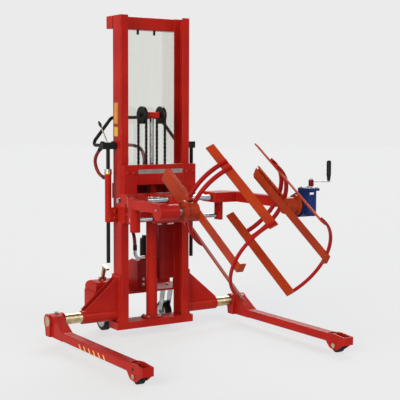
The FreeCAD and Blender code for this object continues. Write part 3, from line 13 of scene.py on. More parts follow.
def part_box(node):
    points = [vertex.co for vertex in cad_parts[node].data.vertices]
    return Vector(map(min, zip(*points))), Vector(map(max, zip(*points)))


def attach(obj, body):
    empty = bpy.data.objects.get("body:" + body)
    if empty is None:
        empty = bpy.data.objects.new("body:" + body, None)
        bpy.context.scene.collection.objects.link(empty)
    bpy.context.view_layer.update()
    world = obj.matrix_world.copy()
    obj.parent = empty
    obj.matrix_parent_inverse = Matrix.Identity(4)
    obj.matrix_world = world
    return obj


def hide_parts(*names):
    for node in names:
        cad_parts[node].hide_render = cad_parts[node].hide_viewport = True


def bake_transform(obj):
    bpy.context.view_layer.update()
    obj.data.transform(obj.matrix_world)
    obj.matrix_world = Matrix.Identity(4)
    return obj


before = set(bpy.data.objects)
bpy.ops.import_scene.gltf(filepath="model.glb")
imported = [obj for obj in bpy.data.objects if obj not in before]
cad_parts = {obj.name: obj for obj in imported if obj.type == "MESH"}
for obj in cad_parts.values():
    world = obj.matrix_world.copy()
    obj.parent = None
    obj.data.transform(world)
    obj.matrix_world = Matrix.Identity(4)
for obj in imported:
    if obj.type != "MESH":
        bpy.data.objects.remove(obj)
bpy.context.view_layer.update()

# Places on the machine

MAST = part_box("mast_upright_near")[0].y        # front plane of the mast
MAST_SIDE = 0.250                              # from the middle to the mast's outer sides
COLUMN = MAST + 0.055                          # axis of the lift cylinder
SHAFT = MAST + 0.068                           # axis of the leg shafts
SHAFT_LEVEL = 0.148                            # level of that axis
LEG_SIDE = 0.713                               # from the middle to the legs' outer sides
POST = MAST + 0.067                            # axes of the handle posts
POST_SIDE = 0.306                              # from the middle to the handle posts
CARRIAGE = MAST - 0.060                        # front face of the carriage
SHEAVE = 1.403                                 # level of the chain sheaves
CHAIN_SIDE = 0.068                             # from the middle to the two chains
FALL = 0.0508                                  # from the sheave axis to the middle of the chain
PIVOT = Vector((0, MAST - 0.943, 0.890))       # tilt axis of the jaws
JAW_TILT = 33                                  # degrees that the jaws lean at rest
JAW = Matrix.Translation(PIVOT) @ Matrix.Rotation(math.radians(JAW_TILT), 4, "X")
HUB_SIDE = 0.387                               # from the middle to the outer ends of the hubs
GEARBOX_SIDE = 0.473                           # from the middle to the gearbox's outer side
CRANK = (0.435, MAST - 1.0206)                 # upright axis of the crank
SIDES = (("near", -1), ("far", 1))
BOTH = (-1, 1)
FRONT, BACK, UP = (0, -1, 0), (0, 1, 0), (0, 0, 1)


# Small helpers

def srgb(code):
    """A linear colour from an sRGB hex code."""
    parts = [int(code[i:i + 2], 16) / 255 for i in (1, 3, 5)]
    return (*[c / 12.92 if c <= 0.04045 else ((c + 0.055) / 1.055) ** 2.4 for c in parts], 1.0)


def feed(tree, socket, value):
    """Link an input to a socket, or set it to a plain value."""
    if isinstance(value, bpy.types.NodeSocket):
        tree.links.new(value, socket)
    else:
        socket.default_value = value


def add(tree, kind, inputs=None, **settings):
    """Add a node with its settings; inputs holds sockets or plain values, a list for several."""
    node = tree.nodes.new(kind)
    for name, value in settings.items():
        setattr(node, name, value)
    for key, value in (inputs or {}).items():
        for source in value if isinstance(value, list) else [value]:
            feed(tree, node.inputs[key], source)
    return node


def maths(tree, operation, *values):
    """One step of arithmetic on sockets or plain numbers."""
    return add(tree, "ShaderNodeMath", dict(enumerate(values)), operation=operation).outputs[0]


def vector(tree, **parts):
    """A vector from any of X, Y and Z."""
    return add(tree, "ShaderNodeCombineXYZ", parts).outputs[0]


def spread(tree, value, low, high, start=0.0, stop=1.0):
    """Stretch what lies between low and high over start to stop."""
    return add(tree, "ShaderNodeMapRange", {"Value": value, "From Min": low, "From Max": high,
                                            "To Min": start, "To Max": stop}).outputs[0]


def mix(tree, share, first, second):
    """The colour at a share of the way from the first to the second."""
    return add(tree, "ShaderNodeMix", {0: share, 6: first, 7: second}, data_type="RGBA").outputs[2]


# Finishes

def noise(tree, size, detail, roughness=0.5):
    """Noise on Object coordinates, its patches this many mm across, or so many along X, Y, Z."""
    sizes = size if isinstance(size, tuple) else (size, size, size)
    place = add(tree, "ShaderNodeTexCoord").outputs["Object"]
    scaled = add(tree, "ShaderNodeMapping", {
        "Vector": place, "Scale": tuple(1000 / length for length in sizes)}).outputs["Vector"]
    return add(tree, "ShaderNodeTexNoise", {"Vector": scaled, "Scale": 1.0, "Detail": detail,
                                            "Roughness": roughness}).outputs["Fac"]


def bump(tree, height, strength, distance, **normal):
    """A normal bumped by a height, on top of another normal where one is given."""
    return add(tree, "ShaderNodeBump", {"Height": height, "Strength": strength,
                                        "Distance": distance, **normal}).outputs["Normal"]


def new_finish(name):
    """A new material and its node tree."""
    finish = bpy.data.materials.new(name)
    finish.use_nodes = True
    return finish, finish.node_tree


def dress(finish, **values):
    """Feed the shader of a finish; each name is that of a socket, in lower case."""
    tree = finish.node_tree
    for name, value in values.items():
        label = name.replace("_", " ").title().replace("Ior", "IOR")
        feed(tree, tree.nodes["Principled BSDF"].inputs[label], value)
    return finish


def enamel(name, deep, mid, bright, rough=(0.26, 0.42)):
    """Sprayed gloss enamel on welded steel: slight orange peel, cloudy tone, and edges painted
    paler, as rubbed paint and as a painted highlight.
    """
    finish, tree = new_finish(name)
    cloud = noise(tree, 200, 4.0)
    # orange peel is 2 to 3 mm across on the real paint; 4 mm here so that it shows
    peel = noise(tree, 4, 2.0)
    scuff = noise(tree, 22, 8.0, roughness=0.7)
    rounded = add(tree, "ShaderNodeBevel", {"Radius": 0.0025}, samples=4).outputs["Normal"]
    flat = add(tree, "ShaderNodeNewGeometry").outputs["Normal"]
    level = add(tree, "ShaderNodeVectorMath", {0: rounded, 1: flat},
                operation="DOT_PRODUCT").outputs["Value"]
    edge = spread(tree, level, 0.99, 0.8)
    # edges turn to the paler colour where scuffs fall: wear of the paint, and a painted highlight
    # along the edges
    wear_and_edge_highlight = maths(tree, "MULTIPLY", edge, spread(tree, scuff, 0.42, 0.6))
    paint = mix(tree, spread(tree, cloud, 0.35, 0.65), srgb(deep), srgb(mid))
    return dress(finish, base_color=mix(tree, wear_and_edge_highlight, paint, srgb(bright)),
                 roughness=spread(tree, scuff, 0.3, 0.7, *rough),
                 normal=bump(tree, peel, 0.12, 0.0006, Normal=rounded),
                 coat_weight=0.10, coat_roughness=0.10, specular_ior_level=0.04,
                 specular_tint=srgb("#FF9C64"))


def metal(name, low, high, rough, grain, metallic=1.0):
    """A slightly patchy metal surface with lines as long as grain, in mm, along X, Y and Z."""
    finish, tree = new_finish(name)
    lines = noise(tree, grain, 3.0)
    tone = spread(tree, noise(tree, 45, 5.0), 0.35, 0.65)
    return dress(finish, base_color=mix(tree, tone, srgb(low), srgb(high)),
                 roughness=spread(tree, lines, 0.3, 0.7, *rough),
                 normal=bump(tree, lines, 0.25, 0.00008), metallic=metallic)


def moulded(name, low, high, rough, grain, depth, specular=0.16):
    """Moulded rubber or plastic: grit of grain mm, dusty patches and a soft sheen."""
    finish, tree = new_finish(name)
    dust = noise(tree, 62, 6.0)
    tone = spread(tree, dust, 0.38, 0.66)
    return dress(finish, base_color=mix(tree, tone, srgb(low), srgb(high)),
                 roughness=spread(tree, dust, 0.3, 0.7, *rough),
                 normal=bump(tree, noise(tree, grain, 3.0), 0.35, depth),
                 specular_ior_level=specular)


def film(name, low, high):
    """Vinyl marking film: even colour, faint satin grain and rubbed patches."""
    return moulded(name, low, high, (0.32, 0.5), 1.1, 0.00004, specular=0.2)


def polycarbonate():
    """Clear extruded polycarbonate: nearly colourless, glossy, with faint dust and wipe marks."""
    finish, tree = new_finish("polycarbonate_clear")
    # wipe marks are about as wide as a thumb and as long as a stroke of the hand
    marks = noise(tree, (25, 25, 330), 6.0)
    return dress(finish, base_color=mix(tree, marks, srgb("#EEF0EA"), srgb("#E6E8E0")),
                 roughness=spread(tree, marks, 0.4, 0.75, 0.0, 0.05),
                 ior=1.58, transmission_weight=0.97)


# Sprayed enamel on ground steel: a wet gloss with soft streaks of light, and paler edges that are
# rubbed paint and also a painted highlight.
red = enamel("gloss_enamel_red", "#8A1513", "#961D15", "#B85446")
# the staves' copy of the red is more orange: painted warm light from the key lamp on the same paint
stave_red_painted_warm_light = enamel("gloss_enamel_staves", "#822816", "#8D3017", "#AC543A")
# the hoops' copy of the red is darker and cooler: painted shade on the same paint
hoop_red_painted_shade = enamel("gloss_enamel_hoops", "#801014", "#8E1516", "#A63A2C")
# a darker, duller copy of the red: painted shade on the pump block, oil tank and clamp cylinder deep
# inside the frame
inner_red_painted_shade = enamel("gloss_enamel_deep_red", "#7C1618", "#8C1E1C", "#A23E34")
maroon = enamel("gloss_enamel_maroon", "#480E14", "#56121A", "#7A302C")
navy = enamel("machine_enamel_navy", "#0D1A4A", "#142658", "#3A5088", rough=(0.32, 0.5))

# Baked powder and moulded plastic, rubber and nylon: even and matt, with grit that breaks up
# each highlight. The grit is 0.2 to 1 mm on the real surfaces, and 0.8 to 2.4 mm here so that
# it shows.
powder = moulded("powder_coat_black", "#0A0A0B", "#121213", (0.3, 0.46), 1.4, 0.0002)
plastic = moulded("abs_black_moulded", "#0B0B0C", "#141415", (0.36, 0.52), 0.8, 0.0001)
tyre = moulded("polyurethane_tyre_black", "#0E0E0E", "#1A1A19", (0.5, 0.75), 2.0, 0.0003)
hose_cover = moulded("wrapped_rubber_maroon", "#66161C", "#781E22", (0.42, 0.6), 2.4, 0.0006,
                     specular=0.2)
nylon = moulded("cast_nylon_natural", "#D8D4C6", "#E2DFD3", (0.4, 0.55), 1.7, 0.0001,
                specular=0.4)

# Zinc plate on drawn bar: straw-coloured or grey, with lines along the bar and a cloudy shine.
# Chrome, turned steel and brass: clear reflections, drawn out across the tool marks.
# The marks are 0.1 to 0.3 mm wide on the real metal, and about 1 mm here so that they show.
zinc = metal("zinc_plate_yellow_passivated", "#9A8A68", "#C8BA94", (0.2, 0.36), (17, 1.1, 1.1))
bright = metal("zinc_plate_bright", "#8F9090", "#B8B9B8", (0.22, 0.4), (3.3, 3.3, 3.3))
chrome = metal("hard_chrome_ground", "#96989A", "#AEB0B2", (0.08, 0.2), (1.1, 1.1, 17))
steel = metal("turned_steel", "#8E8F90", "#B4B4B3", (0.28, 0.45), (1.4, 17, 17))
brass = metal("turned_brass", "#A07C3C", "#C7A35A", (0.24, 0.4), (8.3, 8.3, 0.8))
aluminium = metal("brushed_aluminium", "#85807C", "#9C9690", (0.38, 0.52), (83, 1.1, 1.1))

# Blacked iron castings and oiled chain plates: dark and grainy, with a dull shine at the edges.
iron = metal("cast_iron_blacked", "#0C0C0C", "#161616", (0.38, 0.55), (3.3, 3.3, 3.3),
             metallic=0.7)
links_steel = metal("chain_steel_oiled", "#1E1D1C", "#34322F", (0.28, 0.45), (3.3, 3.3, 3.3))

# A clear sheet that dims what lies behind it a little.
clear = polycarbonate()

# Vinyl film: flat satin colour, a little uneven with age.
yellow = film("marking_film_yellow", "#B98A22", "#C79A34")
amber = film("marking_film_amber", "#AC6A1C", "#BA7A28")
olive = film("marking_film_border", "#54401C", "#644E28")
white = film("marking_film_white", "#B9BDC8", "#C8CCD6")
pale_yellow = film("marking_film_pale_yellow", "#BCA25A", "#CBB26C")

# The CAD nodes in a finish of their own; all others are red
FINISH_OF = {
    clear: ["clear_screen"],
    plastic: ["screen_clips", "valve_block", "lever_knob", "crank_grip"],
    powder: ["push_handle", "handle_posts"],
    hose_cover: ["valve_hose", "pump_hose"],
    zinc: ["leg_shaft_near", "leg_shaft_far", "release_lever"],
    bright: ["caster_fork_near", "caster_fork_far", "post_collars"],
    tyre: ["leg_roller_near", "leg_roller_far", "caster_wheel_near", "caster_wheel_far"],
    chrome: ["piston_rod", "guide_shafts", "clamp_rod_near", "clamp_rod_far"],
    steel: ["cylinder_gland", "valve_lever", "crank_shaft", "pivot_shaft_near",
            "pivot_shaft_far"],
    iron: ["sheave_near", "sheave_far", "pump_motor"],
    links_steel: ["chain_wraps", "chain_front_falls", "chain_rear_falls"],
    nylon: ["guide_shoes"],
    navy: ["tilt_gearbox"],
    inner_red_painted_shade: ["pump_block", "oil_tank", "clamp_cylinder"],
    maroon: ["crank_hub"],
    hoop_red_painted_shade: ["jaw_hoops_near", "jaw_hoops_far"],
    stave_red_painted_warm_light: ["jaw_staves_near", "jaw_staves_far"],
}
finish_by_node = {name: finish for finish, names in FINISH_OF.items() for name in names}
for name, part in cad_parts.items():
    part.data.materials.clear()
    part.data.materials.append(finish_by_node.get(name, red))


# Meshes made in code

def place_in_scene(name, data):
    """A new object in the scene."""
    piece = bpy.data.objects.new(name, data)
    bpy.context.scene.collection.objects.link(piece)
    return piece


def keep(name, mesh, finish, body):
    """Make a finished mesh a piece that rides on a body."""
    piece = place_in_scene(name, mesh)
    if finish:
        mesh.materials.append(finish)
    if body:
        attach(piece, body)
    return piece


def soften(mesh, sharp):
    """Shade a mesh smooth, but for edges that turn by more than this many degrees."""
    mesh.shade_smooth()
    mesh.set_sharp_from_angle(angle=math.radians(sharp))


def mesh_from(name, shape, sharp):
    """A mesh of a bmesh, its faces turned outward."""
    bmesh.ops.recalc_face_normals(shape, faces=shape.faces)
    mesh = bpy.data.meshes.new(name)
    shape.to_mesh(mesh)
    shape.free()
    soften(mesh, sharp)
    return mesh


def skin(rings):
    """A closed form through rings of equally many points, with a face on both ends."""
    shape = bmesh.new()
    loops = [[shape.verts.new(point) for point in ring] for ring in rings]
    for low, high in zip(loops, loops[1:]):
        for i in range(len(low)):
            j = (i + 1) % len(low)
            shape.faces.new((low[i], low[j], high[j], high[i]))
    shape.faces.new(loops[0])
    shape.faces.new(loops[-1])
    return shape


def lathe(name, profile, place, finish, body, steps=40):
    """A turned piece: radius and height pairs, in mm, round the local Z of a place."""
    angles = [math.tau * i / steps for i in range(steps)]
    rings = [[place @ Vector((radius * math.cos(a) / 1000, radius * math.sin(a) / 1000,
                              height / 1000)) for a in angles] for radius, height in profile]
    return keep(name, mesh_from(name, skin(rings), 35), finish, body)


def curved_plate(name, centre, radius, thickness, sweep, height, finish, body, steps=12):
    """A thin plate bent round an upright axis: sizes in mm, and its two angles in degrees."""
    outer = radius + thickness
    rings = []
    for i in range(steps + 1):
        angle = math.radians(sweep[0] + (sweep[1] - sweep[0]) * i / steps)
        rings.append([Vector(centre) + Vector((r * math.cos(angle), r * math.sin(angle), z)) / 1000
                      for r, z in ((radius, 0), (outer, 0), (outer, height), (radius, height))])
    return keep(name, mesh_from(name, skin(rings), 35), finish, body)


def plate(name, width, height, thickness, corner, place, finish, body):
    """A thin plate with rounded corners and eased edges, flat on the XY plane of a place."""
    shape = bmesh.new()
    outline = []
    for quarter, (sx, sy) in enumerate(((1, 1), (-1, 1), (-1, -1), (1, -1))):
        for step in range(6):
            angle = math.radians(90 * quarter + 18 * step)
            outline.append(shape.verts.new((
                sx * (width / 2 - corner) + corner * math.cos(angle),
                sy * (height / 2 - corner) + corner * math.sin(angle), 0)))
    face = shape.faces.new(outline)
    top = bmesh.ops.extrude_face_region(shape, geom=[face])["geom"]
    raised = [v for v in top if isinstance(v, bmesh.types.BMVert)]
    bmesh.ops.translate(shape, vec=(0, 0, thickness), verts=raised)
    rim = [e for e in shape.edges if all(abs(v.co.z - thickness) < 1e-7 for v in e.verts)]
    bmesh.ops.bevel(shape, geom=rim, offset=thickness * 0.4, segments=2, affect="EDGES")
    bmesh.ops.transform(shape, matrix=place, verts=shape.verts)
    return keep(name, mesh_from(name, shape, 40), finish, body)


def facing(at, axis):
    """A place whose Z points along axis and whose Y leans upward."""
    out = Vector(axis).normalized()
    side = Vector(UP).cross(out)
    side = side.normalized() if side.length > 1e-6 else Vector((1, 0, 0))
    turn = Matrix((side, out.cross(side), out)).transposed().to_4x4()
    return Matrix.Translation(Vector(at)) @ turn


# Hoses, on the routes of the CAD tubes

HOSE = 0.022           # diameter of the hoses
# radius and height in mm, from the hose's end along it
FERRULE = [(11.05, -0.6), (13.4, -0.6), (13.4, 5), (12.3, 6), (12.3, 9), (13.2, 10), (13.2, 15),
           (12.5, 16), (12.5, 18), (13.2, 19), (13.2, 24), (12.5, 25), (12.5, 27), (13.2, 28),
           (13.2, 32), (12.4, 33.4), (11.05, 33.4)]


def from_mast(x, y, z):
    """A point given in mm, with y from the front plane of the mast."""
    return (x / 1000, MAST + y / 1000, z / 1000)


def hose(name, node, points, ways):
    """A hydraulic hose led by points in mm, with a crimped ferrule at each end along its way."""
    line = bpy.data.curves.new(name, "CURVE")
    line.dimensions = "3D"
    spline = line.splines.new("NURBS")
    spline.points.add(len(points) - 1)
    for knot, point in zip(spline.points, points):
        knot.co = (*from_mast(*point), 1)
    spline.order_u = 3
    spline.use_endpoint_u = True
    line.resolution_u = 10
    line.bevel_depth = HOSE / 2
    line.bevel_resolution = 5
    line.use_fill_caps = True
    line.materials.append(hose_cover)
    piece = place_in_scene(name, line)
    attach(piece, "frame")
    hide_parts(node)
    ferrules = [lathe(f"{name}_ferrule_{end}", FERRULE, facing(from_mast(*point), way), iron,
                      "frame")
                for end, point, way in zip(("start", "end"), (points[0], points[-1]), ways)]


hose("return_hose", "valve_hose",
     [(-334, 101, 1201), (-334, 196, 1146), (-320, 210, 1066), (-306, 156, 1012),
      (-306, 96, 1012)],
     ((0, 0.866, -0.5), BACK))
hose("feed_hose", "pump_hose",
     [(-276, 101, 1213), (-276, 182, 1213), (-225, 235, 1213), (-150, 238, 1212),
      (-4, 238, 1208), (46, 237, 1158), (44, 228, 1050), (20, 208, 940), (-24, 186, 836),
      (-72, 160, 740), (-108, 118, 672), (-122, 55, 614), (-122, 55, 545)],
     (BACK, UP))


# Rules for what repeats

def new_rule(name, **sizes):
    """A node tree with a Geometry input and named sizes; returns it with its inputs."""
    tree = bpy.data.node_groups.new(name, "GeometryNodeTree")
    tree.is_modifier = True
    for way in ("INPUT", "OUTPUT"):
        tree.interface.new_socket("Geometry", in_out=way, socket_type="NodeSocketGeometry")
    kinds = {float: "NodeSocketFloat", int: "NodeSocketInt", type(None): "NodeSocketMaterial"}
    for label, value in sizes.items():
        socket = tree.interface.new_socket(label.replace("_", " "), in_out="INPUT",
                                           socket_type=kinds[type(value)])
        if value is not None:
            socket.default_value = value
    return tree, tree.nodes.new("NodeGroupInput").outputs


def close_rule(tree, geometry, finish):
    """End a tree with real geometry in one finish."""
    real = add(tree, "GeometryNodeRealizeInstances", {"Geometry": geometry}).outputs[0]
    painted = add(tree, "GeometryNodeSetMaterial", {"Geometry": real,
                                                    "Material": finish}).outputs[0]
    add(tree, "NodeGroupOutput", {"Geometry": painted})
    return tree


def join(tree, forms):
    """Several forms as one."""
    return add(tree, "GeometryNodeJoinGeometry", {"Geometry": forms}).outputs[0]


def move(tree, form, shift, turn=(0, 0, 0)):
    """A form turned and shifted."""
    return add(tree, "GeometryNodeTransform", {"Geometry": form, "Translation": shift,
                                               "Rotation": turn}).outputs[0]


def repeat(tree, points, form, **inputs):
    """A form on each of the points."""
    return add(tree, "GeometryNodeInstanceOnPoints", {"Points": points, "Instance": form,
                                                      **inputs}).outputs[0]


def grow(name, tree, points, edges, body, slot=None, axes=None, sharp=None, **sizes):
    """Run a tree on points or lines and keep the result as a plain mesh."""
    mesh = bpy.data.meshes.new(name + "_seed")
    mesh.from_pydata([tuple(p) for p in points], edges, [])
    if axes:
        store = mesh.attributes.new("axis", "FLOAT_VECTOR", "POINT")
        store.data.foreach_set("vector", [c for axis in axes for c in axis])
    seed = place_in_scene(name + "_seed", mesh)
    modifier = seed.modifiers.new("rule", "NODES")
    modifier.node_group = tree
    for item in tree.interface.items_tree:
        key = item.name.replace(" ", "_")
        if item.in_out == "INPUT" and key in sizes:
            modifier[item.identifier] = sizes[key]
    bpy.context.view_layer.update()
    graph = bpy.context.evaluated_depsgraph_get()
    made = bpy.data.meshes.new_from_object(seed.evaluated_get(graph), depsgraph=graph)
    made.name = name
    bpy.data.objects.remove(seed)
    if sharp:
        soften(made, sharp)
    return keep(name, made, None, body)


def bolt_rule():
    """Hexagon bolt heads with chamfered tops on round washers, one at each point on its axis."""
    tree, given = new_rule("hexagon_bolts", Across_corners=0.0196, Head_height=0.0064,
                           Washer_diameter=0.024, Washer_thickness=0.002, Finish=None)
    washer = given["Washer thickness"]
    rim = maths(tree, "MULTIPLY", given["Washer diameter"], 0.5)
    corner = maths(tree, "MULTIPLY", given["Across corners"], 0.5)
    chamfer = maths(tree, "MULTIPLY", corner, 0.84)
    shank = maths(tree, "MULTIPLY", given["Head height"], 0.8)
    crown = maths(tree, "MULTIPLY", given["Head height"], 0.2)
    forms = []
    for sides, low, high, depth, level in (
            (20, rim, rim, washer, 0.0), (6, corner, corner, shank, washer),
            (6, corner, chamfer, crown, maths(tree, "ADD", washer, shank))):
        form = add(tree, "GeometryNodeMeshCone", {
            "Vertices": sides, "Radius Bottom": low, "Radius Top": high,
            "Depth": depth}).outputs["Mesh"]
        forms.append(move(tree, form, vector(tree, Z=level)))
    axis = add(tree, "GeometryNodeInputNamedAttribute", {"Name": "axis"},
               data_type="FLOAT_VECTOR").outputs[0]
    turn = add(tree, "FunctionNodeAlignRotationToVector", {"Vector": axis}, axis="Z").outputs[0]
    dots = add(tree, "GeometryNodeMeshToPoints", {"Mesh": given["Geometry"]}).outputs[0]
    return close_rule(tree, repeat(tree, dots, join(tree, forms), Rotation=turn),
                      given["Finish"])


def chain_rule():
    """Leaf chain along a line: obround plates laced three and four abreast, on pins."""
    tree, given = new_rule("leaf_chain", Links=48, Pitch=0.0127, Plate_height=0.0088,
                           Plate_thickness=0.002, Plate_step=0.00213, Pin_diameter=0.0042,
                           Pin_length=0.0149, Finish=None)
    crosswise = (0, math.pi / 2, 0)

    def disc(vertices, diameter, depth):
        """A round plate or pin; its two sizes are names of inputs."""
        return add(tree, "GeometryNodeMeshCylinder", {
            "Vertices": vertices, "Radius": maths(tree, "MULTIPLY", given[diameter], 0.5),
            "Depth": given[depth]}).outputs["Mesh"]

    half_pitch = maths(tree, "MULTIPLY", given["Pitch"], 0.5)
    eye = disc(12, "Plate height", "Plate thickness")
    ends = [move(tree, eye, vector(tree, Z=level), crosswise)
            for level in (half_pitch, maths(tree, "MULTIPLY", half_pitch, -1.0))]
    leaf = add(tree, "GeometryNodeConvexHull", {"Geometry": join(tree, ends)}).outputs[0]
    four, three = [
        join(tree, [move(tree, leaf, vector(tree, X=maths(tree, "MULTIPLY", given["Plate step"],
                                                          step))) for step in row])
        for row in ((-3.0, -1.0, 1.0, 3.0), (-2.0, 0.0, 2.0))]
    pin = move(tree, disc(10, "Pin diameter", "Pin length"), (0, 0, 0), crosswise)

    # plates start half a pitch in; run counts both chains of a pair, so the other end of the
    # line stays whole, and the last plates pass it by half a link
    path = add(tree, "GeometryNodeMeshToCurve", {"Mesh": given["Geometry"]}).outputs[0]
    run = add(tree, "GeometryNodeCurveLength", {"Curve": path}).outputs[0]
    inner = add(tree, "GeometryNodeTrimCurve", {
        "Curve": path, 4: half_pitch, 5: maths(tree, "SUBTRACT", run, half_pitch)},
        mode="LENGTH").outputs[0]
    # pins are as many as plates and reach from end to end, so they drift out of the plates' eyes
    middles, joints = [
        add(tree, "GeometryNodeResampleCurve", {"Curve": line, "Count": given["Links"]},
            mode="COUNT").outputs[0] for line in (inner, path)]
    along = add(tree, "GeometryNodeInputTangent").outputs[0]
    turn = add(tree, "FunctionNodeAlignRotationToVector", {"Vector": along}, axis="Z",
               pivot_axis="X").outputs[0]
    index = add(tree, "GeometryNodeInputIndex").outputs[0]
    odd = maths(tree, "MODULO", index, 2.0)
    even = maths(tree, "SUBTRACT", 1.0, odd)
    laced = [repeat(tree, middles, pack, Selection=chosen, Rotation=turn)
             for chosen, pack in ((odd, four), (even, three))]
    whole = join(tree, [*laced, repeat(tree, joints, pin)])
    return close_rule(tree, whole, given["Finish"])


def weld_rule():
    """A fillet weld along a line: a round bead with even ripples, painted over."""
    tree, given = new_rule("weld_beads", Bead_radius=0.0035, Ripple_pitch=0.006,
                           Ripple_depth=0.12, Finish=None)
    path = add(tree, "GeometryNodeMeshToCurve", {"Mesh": given["Geometry"]}).outputs[0]
    step = maths(tree, "MULTIPLY", given["Ripple pitch"], 0.34)
    fine = add(tree, "GeometryNodeResampleCurve", {"Curve": path, "Length": step},
               mode="LENGTH").outputs[0]
    along = add(tree, "GeometryNodeSplineParameter").outputs["Length"]
    turns = maths(tree, "DIVIDE", along, given["Ripple pitch"])
    wave = maths(tree, "SINE", maths(tree, "MULTIPLY", turns, math.tau))
    swell = maths(tree, "MULTIPLY_ADD", wave, given["Ripple depth"], 1.0)
    width = maths(tree, "MULTIPLY", swell, given["Bead radius"])
    ring = add(tree, "GeometryNodeCurvePrimitiveCircle", {"Resolution": 7,
                                                          "Radius": 1.0}).outputs[0]
    bead = add(tree, "GeometryNodeCurveToMesh", {"Curve": fine, "Profile Curve": ring,
                                                 "Scale": width, "Fill Caps": True}).outputs[0]
    return close_rule(tree, bead, given["Finish"])


BAR_FILM = 0.0006      # thickness of the marking bars


def bar_rule():
    """Slanted marking bars at even steps along -Y, cut from thin film."""
    tree, given = new_rule("marking_bars", Count=6, Pitch=0.060, Bar_width=0.017,
                           Bar_height=0.034, Film=BAR_FILM, Slant=0.8, Finish=None)
    size = vector(tree, X=given["Film"], Y=given["Bar width"], Z=given["Bar height"])
    block = add(tree, "GeometryNodeMeshCube", {"Size": size}).outputs["Mesh"]
    spot = add(tree, "GeometryNodeInputPosition").outputs[0]
    height = add(tree, "ShaderNodeSeparateXYZ", {0: spot}).outputs["Z"]
    shear = vector(tree, Y=maths(tree, "MULTIPLY", height, given["Slant"]))
    bar = add(tree, "GeometryNodeSetPosition", {"Geometry": block, "Offset": shear}).outputs[0]
    stride = vector(tree, Y=maths(tree, "MULTIPLY", given["Pitch"], -1.0))
    row = add(tree, "GeometryNodeMeshLine", {"Count": given["Count"],
                                             "Offset": stride}).outputs[0]
    bars = repeat(tree, given["Geometry"], repeat(tree, row, bar))
    return close_rule(tree, bars, given["Finish"])


BOLT_RULE = bolt_rule()
CHAIN_RULE = chain_rule()
WELD_RULE = weld_rule()
BAR_RULE = bar_rule()


def lines(paths):
    """The points of several paths, and the edges along each."""
    points = []
    edges = []
    for path in paths:
        edges += [(len(points) + i, len(points) + i + 1) for i in range(len(path) - 1)]
        points += path
    return points, edges


def around(centre, radius, axis, count, start=0.0):
    """Points evenly round a circle about the X or Z axis."""
    points = []
    for i in range(count):
        angle = start + math.tau * i / count
        c, s = radius * math.cos(angle), radius * math.sin(angle)
        points.append(Vector(centre) + Vector((0, c, s) if axis == "X" else (c, s, 0)))
    return points


# Lift chains: each fall runs from its holder up to the lift head, baked in place and riding on no
# body; the wraps ride on the lift head

def chain(name, paths, links, node, ride=None, between=None):
    """A pair of chains along paths of one length, in place of a CAD node."""
    length = sum((Vector(a) - Vector(b)).length for a, b in zip(paths[0], paths[0][1:]))
    piece = grow(name, CHAIN_RULE, *lines(paths), ride, "chain_steel", sharp=30, Links=links,
                 Pitch=length / links, Finish=links_steel)
    if between:
        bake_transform(piece)
    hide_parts(node)


for name, holder, y, low, links in (("chain_front", "carriage", COLUMN - FALL, 0.765, 50),
                                    ("chain_rear", "frame", COLUMN + FALL, 1.005, 31)):
    chain(name, [[(s * CHAIN_SIDE, y, z) for z in (low, SHEAVE)] for s in BOTH], links,
          f"{name}_falls", between=(holder, "lift_head", (0, y, low), (0, y, SHEAVE)))
arc = [math.pi * i / 48 for i in range(49)]
chain("chain_over_sheaves",
      [[(s * CHAIN_SIDE, COLUMN - FALL * math.cos(a), SHEAVE + FALL * math.sin(a)) for a in arc]
       for s in BOTH], 12, "chain_wraps", ride="lift_head")


# Bolts

# by thread in mm: across the corners, height of the head, diameter of the washer
BOLT_SIZES = {8: (0.0150, 0.0053, 0.018), 10: (0.0196, 0.0064, 0.022),
              12: (0.0219, 0.0075, 0.025)}


def bolts(body, name, spots, size, finish=bright):
    """Bolts of one size on a body; each spot is a place on a face and the way out of it."""
    corners, head, washer = BOLT_SIZES[size]
    grow(name, BOLT_RULE, [at for at, _ in spots], [], body, "steel",
         axes=[axis for _, axis in spots], sharp=30, Across_corners=corners, Head_height=head,
         Washer_diameter=washer, Finish=finish)


on_posts = [((s * 0.272, POST - 0.023, z), FRONT) for s in BOTH for z in (0.757, 0.803)]
on_tie = [((s * 0.224, MAST + 0.122, z), BACK) for s in BOTH for z in (0.905, 0.950)]
on_crossbar = [((s * x, MAST + 0.190, 1.981), BACK) for s in BOTH for x in (0.205, 0.235)]
bolts("frame", "bracket_bolts", on_posts + on_tie + on_crossbar, 10, red)
bolts("frame", "caster_stem_nut", [((0.228, MAST + 0.245, 0.267), UP)], 12)
bolts("frame", "cylinder_foot_bolts",
      [((x, COLUMN + y, 0.112), UP) for x in (-0.041, 0.041) for y in (-0.034, 0.034)], 8)
low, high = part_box("pump_block")
bolts("frame", "pump_bolts",
      [((x, MAST + y, high.z), UP) for x in (-0.012, 0.072) for y in (0.208, 0.292)]
      + [((x, low.y, z), FRONT) for x in (0.014, 0.046) for z in (0.294, 0.329)], 8)
valve_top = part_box("valve_block")[1].z
bolts("frame", "valve_screws",
      [((x, POST + y, valve_top), UP) for x in (-0.343, -0.269) for y in (-0.013, 0.013)], 8, iron)
for side, s in SIDES:
    bolts(f"{side}_leg", f"leg_lock_bolt_{side}", [((s * 0.664, SHAFT, 0.194), UP)], 12)
    hub = around((s * HUB_SIDE, PIVOT.y, PIVOT.z), 0.048, "X", 6, 0.3)
    bolts(f"{side}_jaw", f"hub_bolts_{side}", [(at, (s, 0, 0)) for at in hub], 8, red)
bolts("carriage", "carriage_bolts",
      [((s * x, CARRIAGE, z), FRONT) for s in BOTH for z in (0.787, 1.045)
       for x in (0.192, 0.240)], 10, red)
cover = around((GEARBOX_SIDE, PIVOT.y, PIVOT.z), 0.060, "X", 6, 0.2)
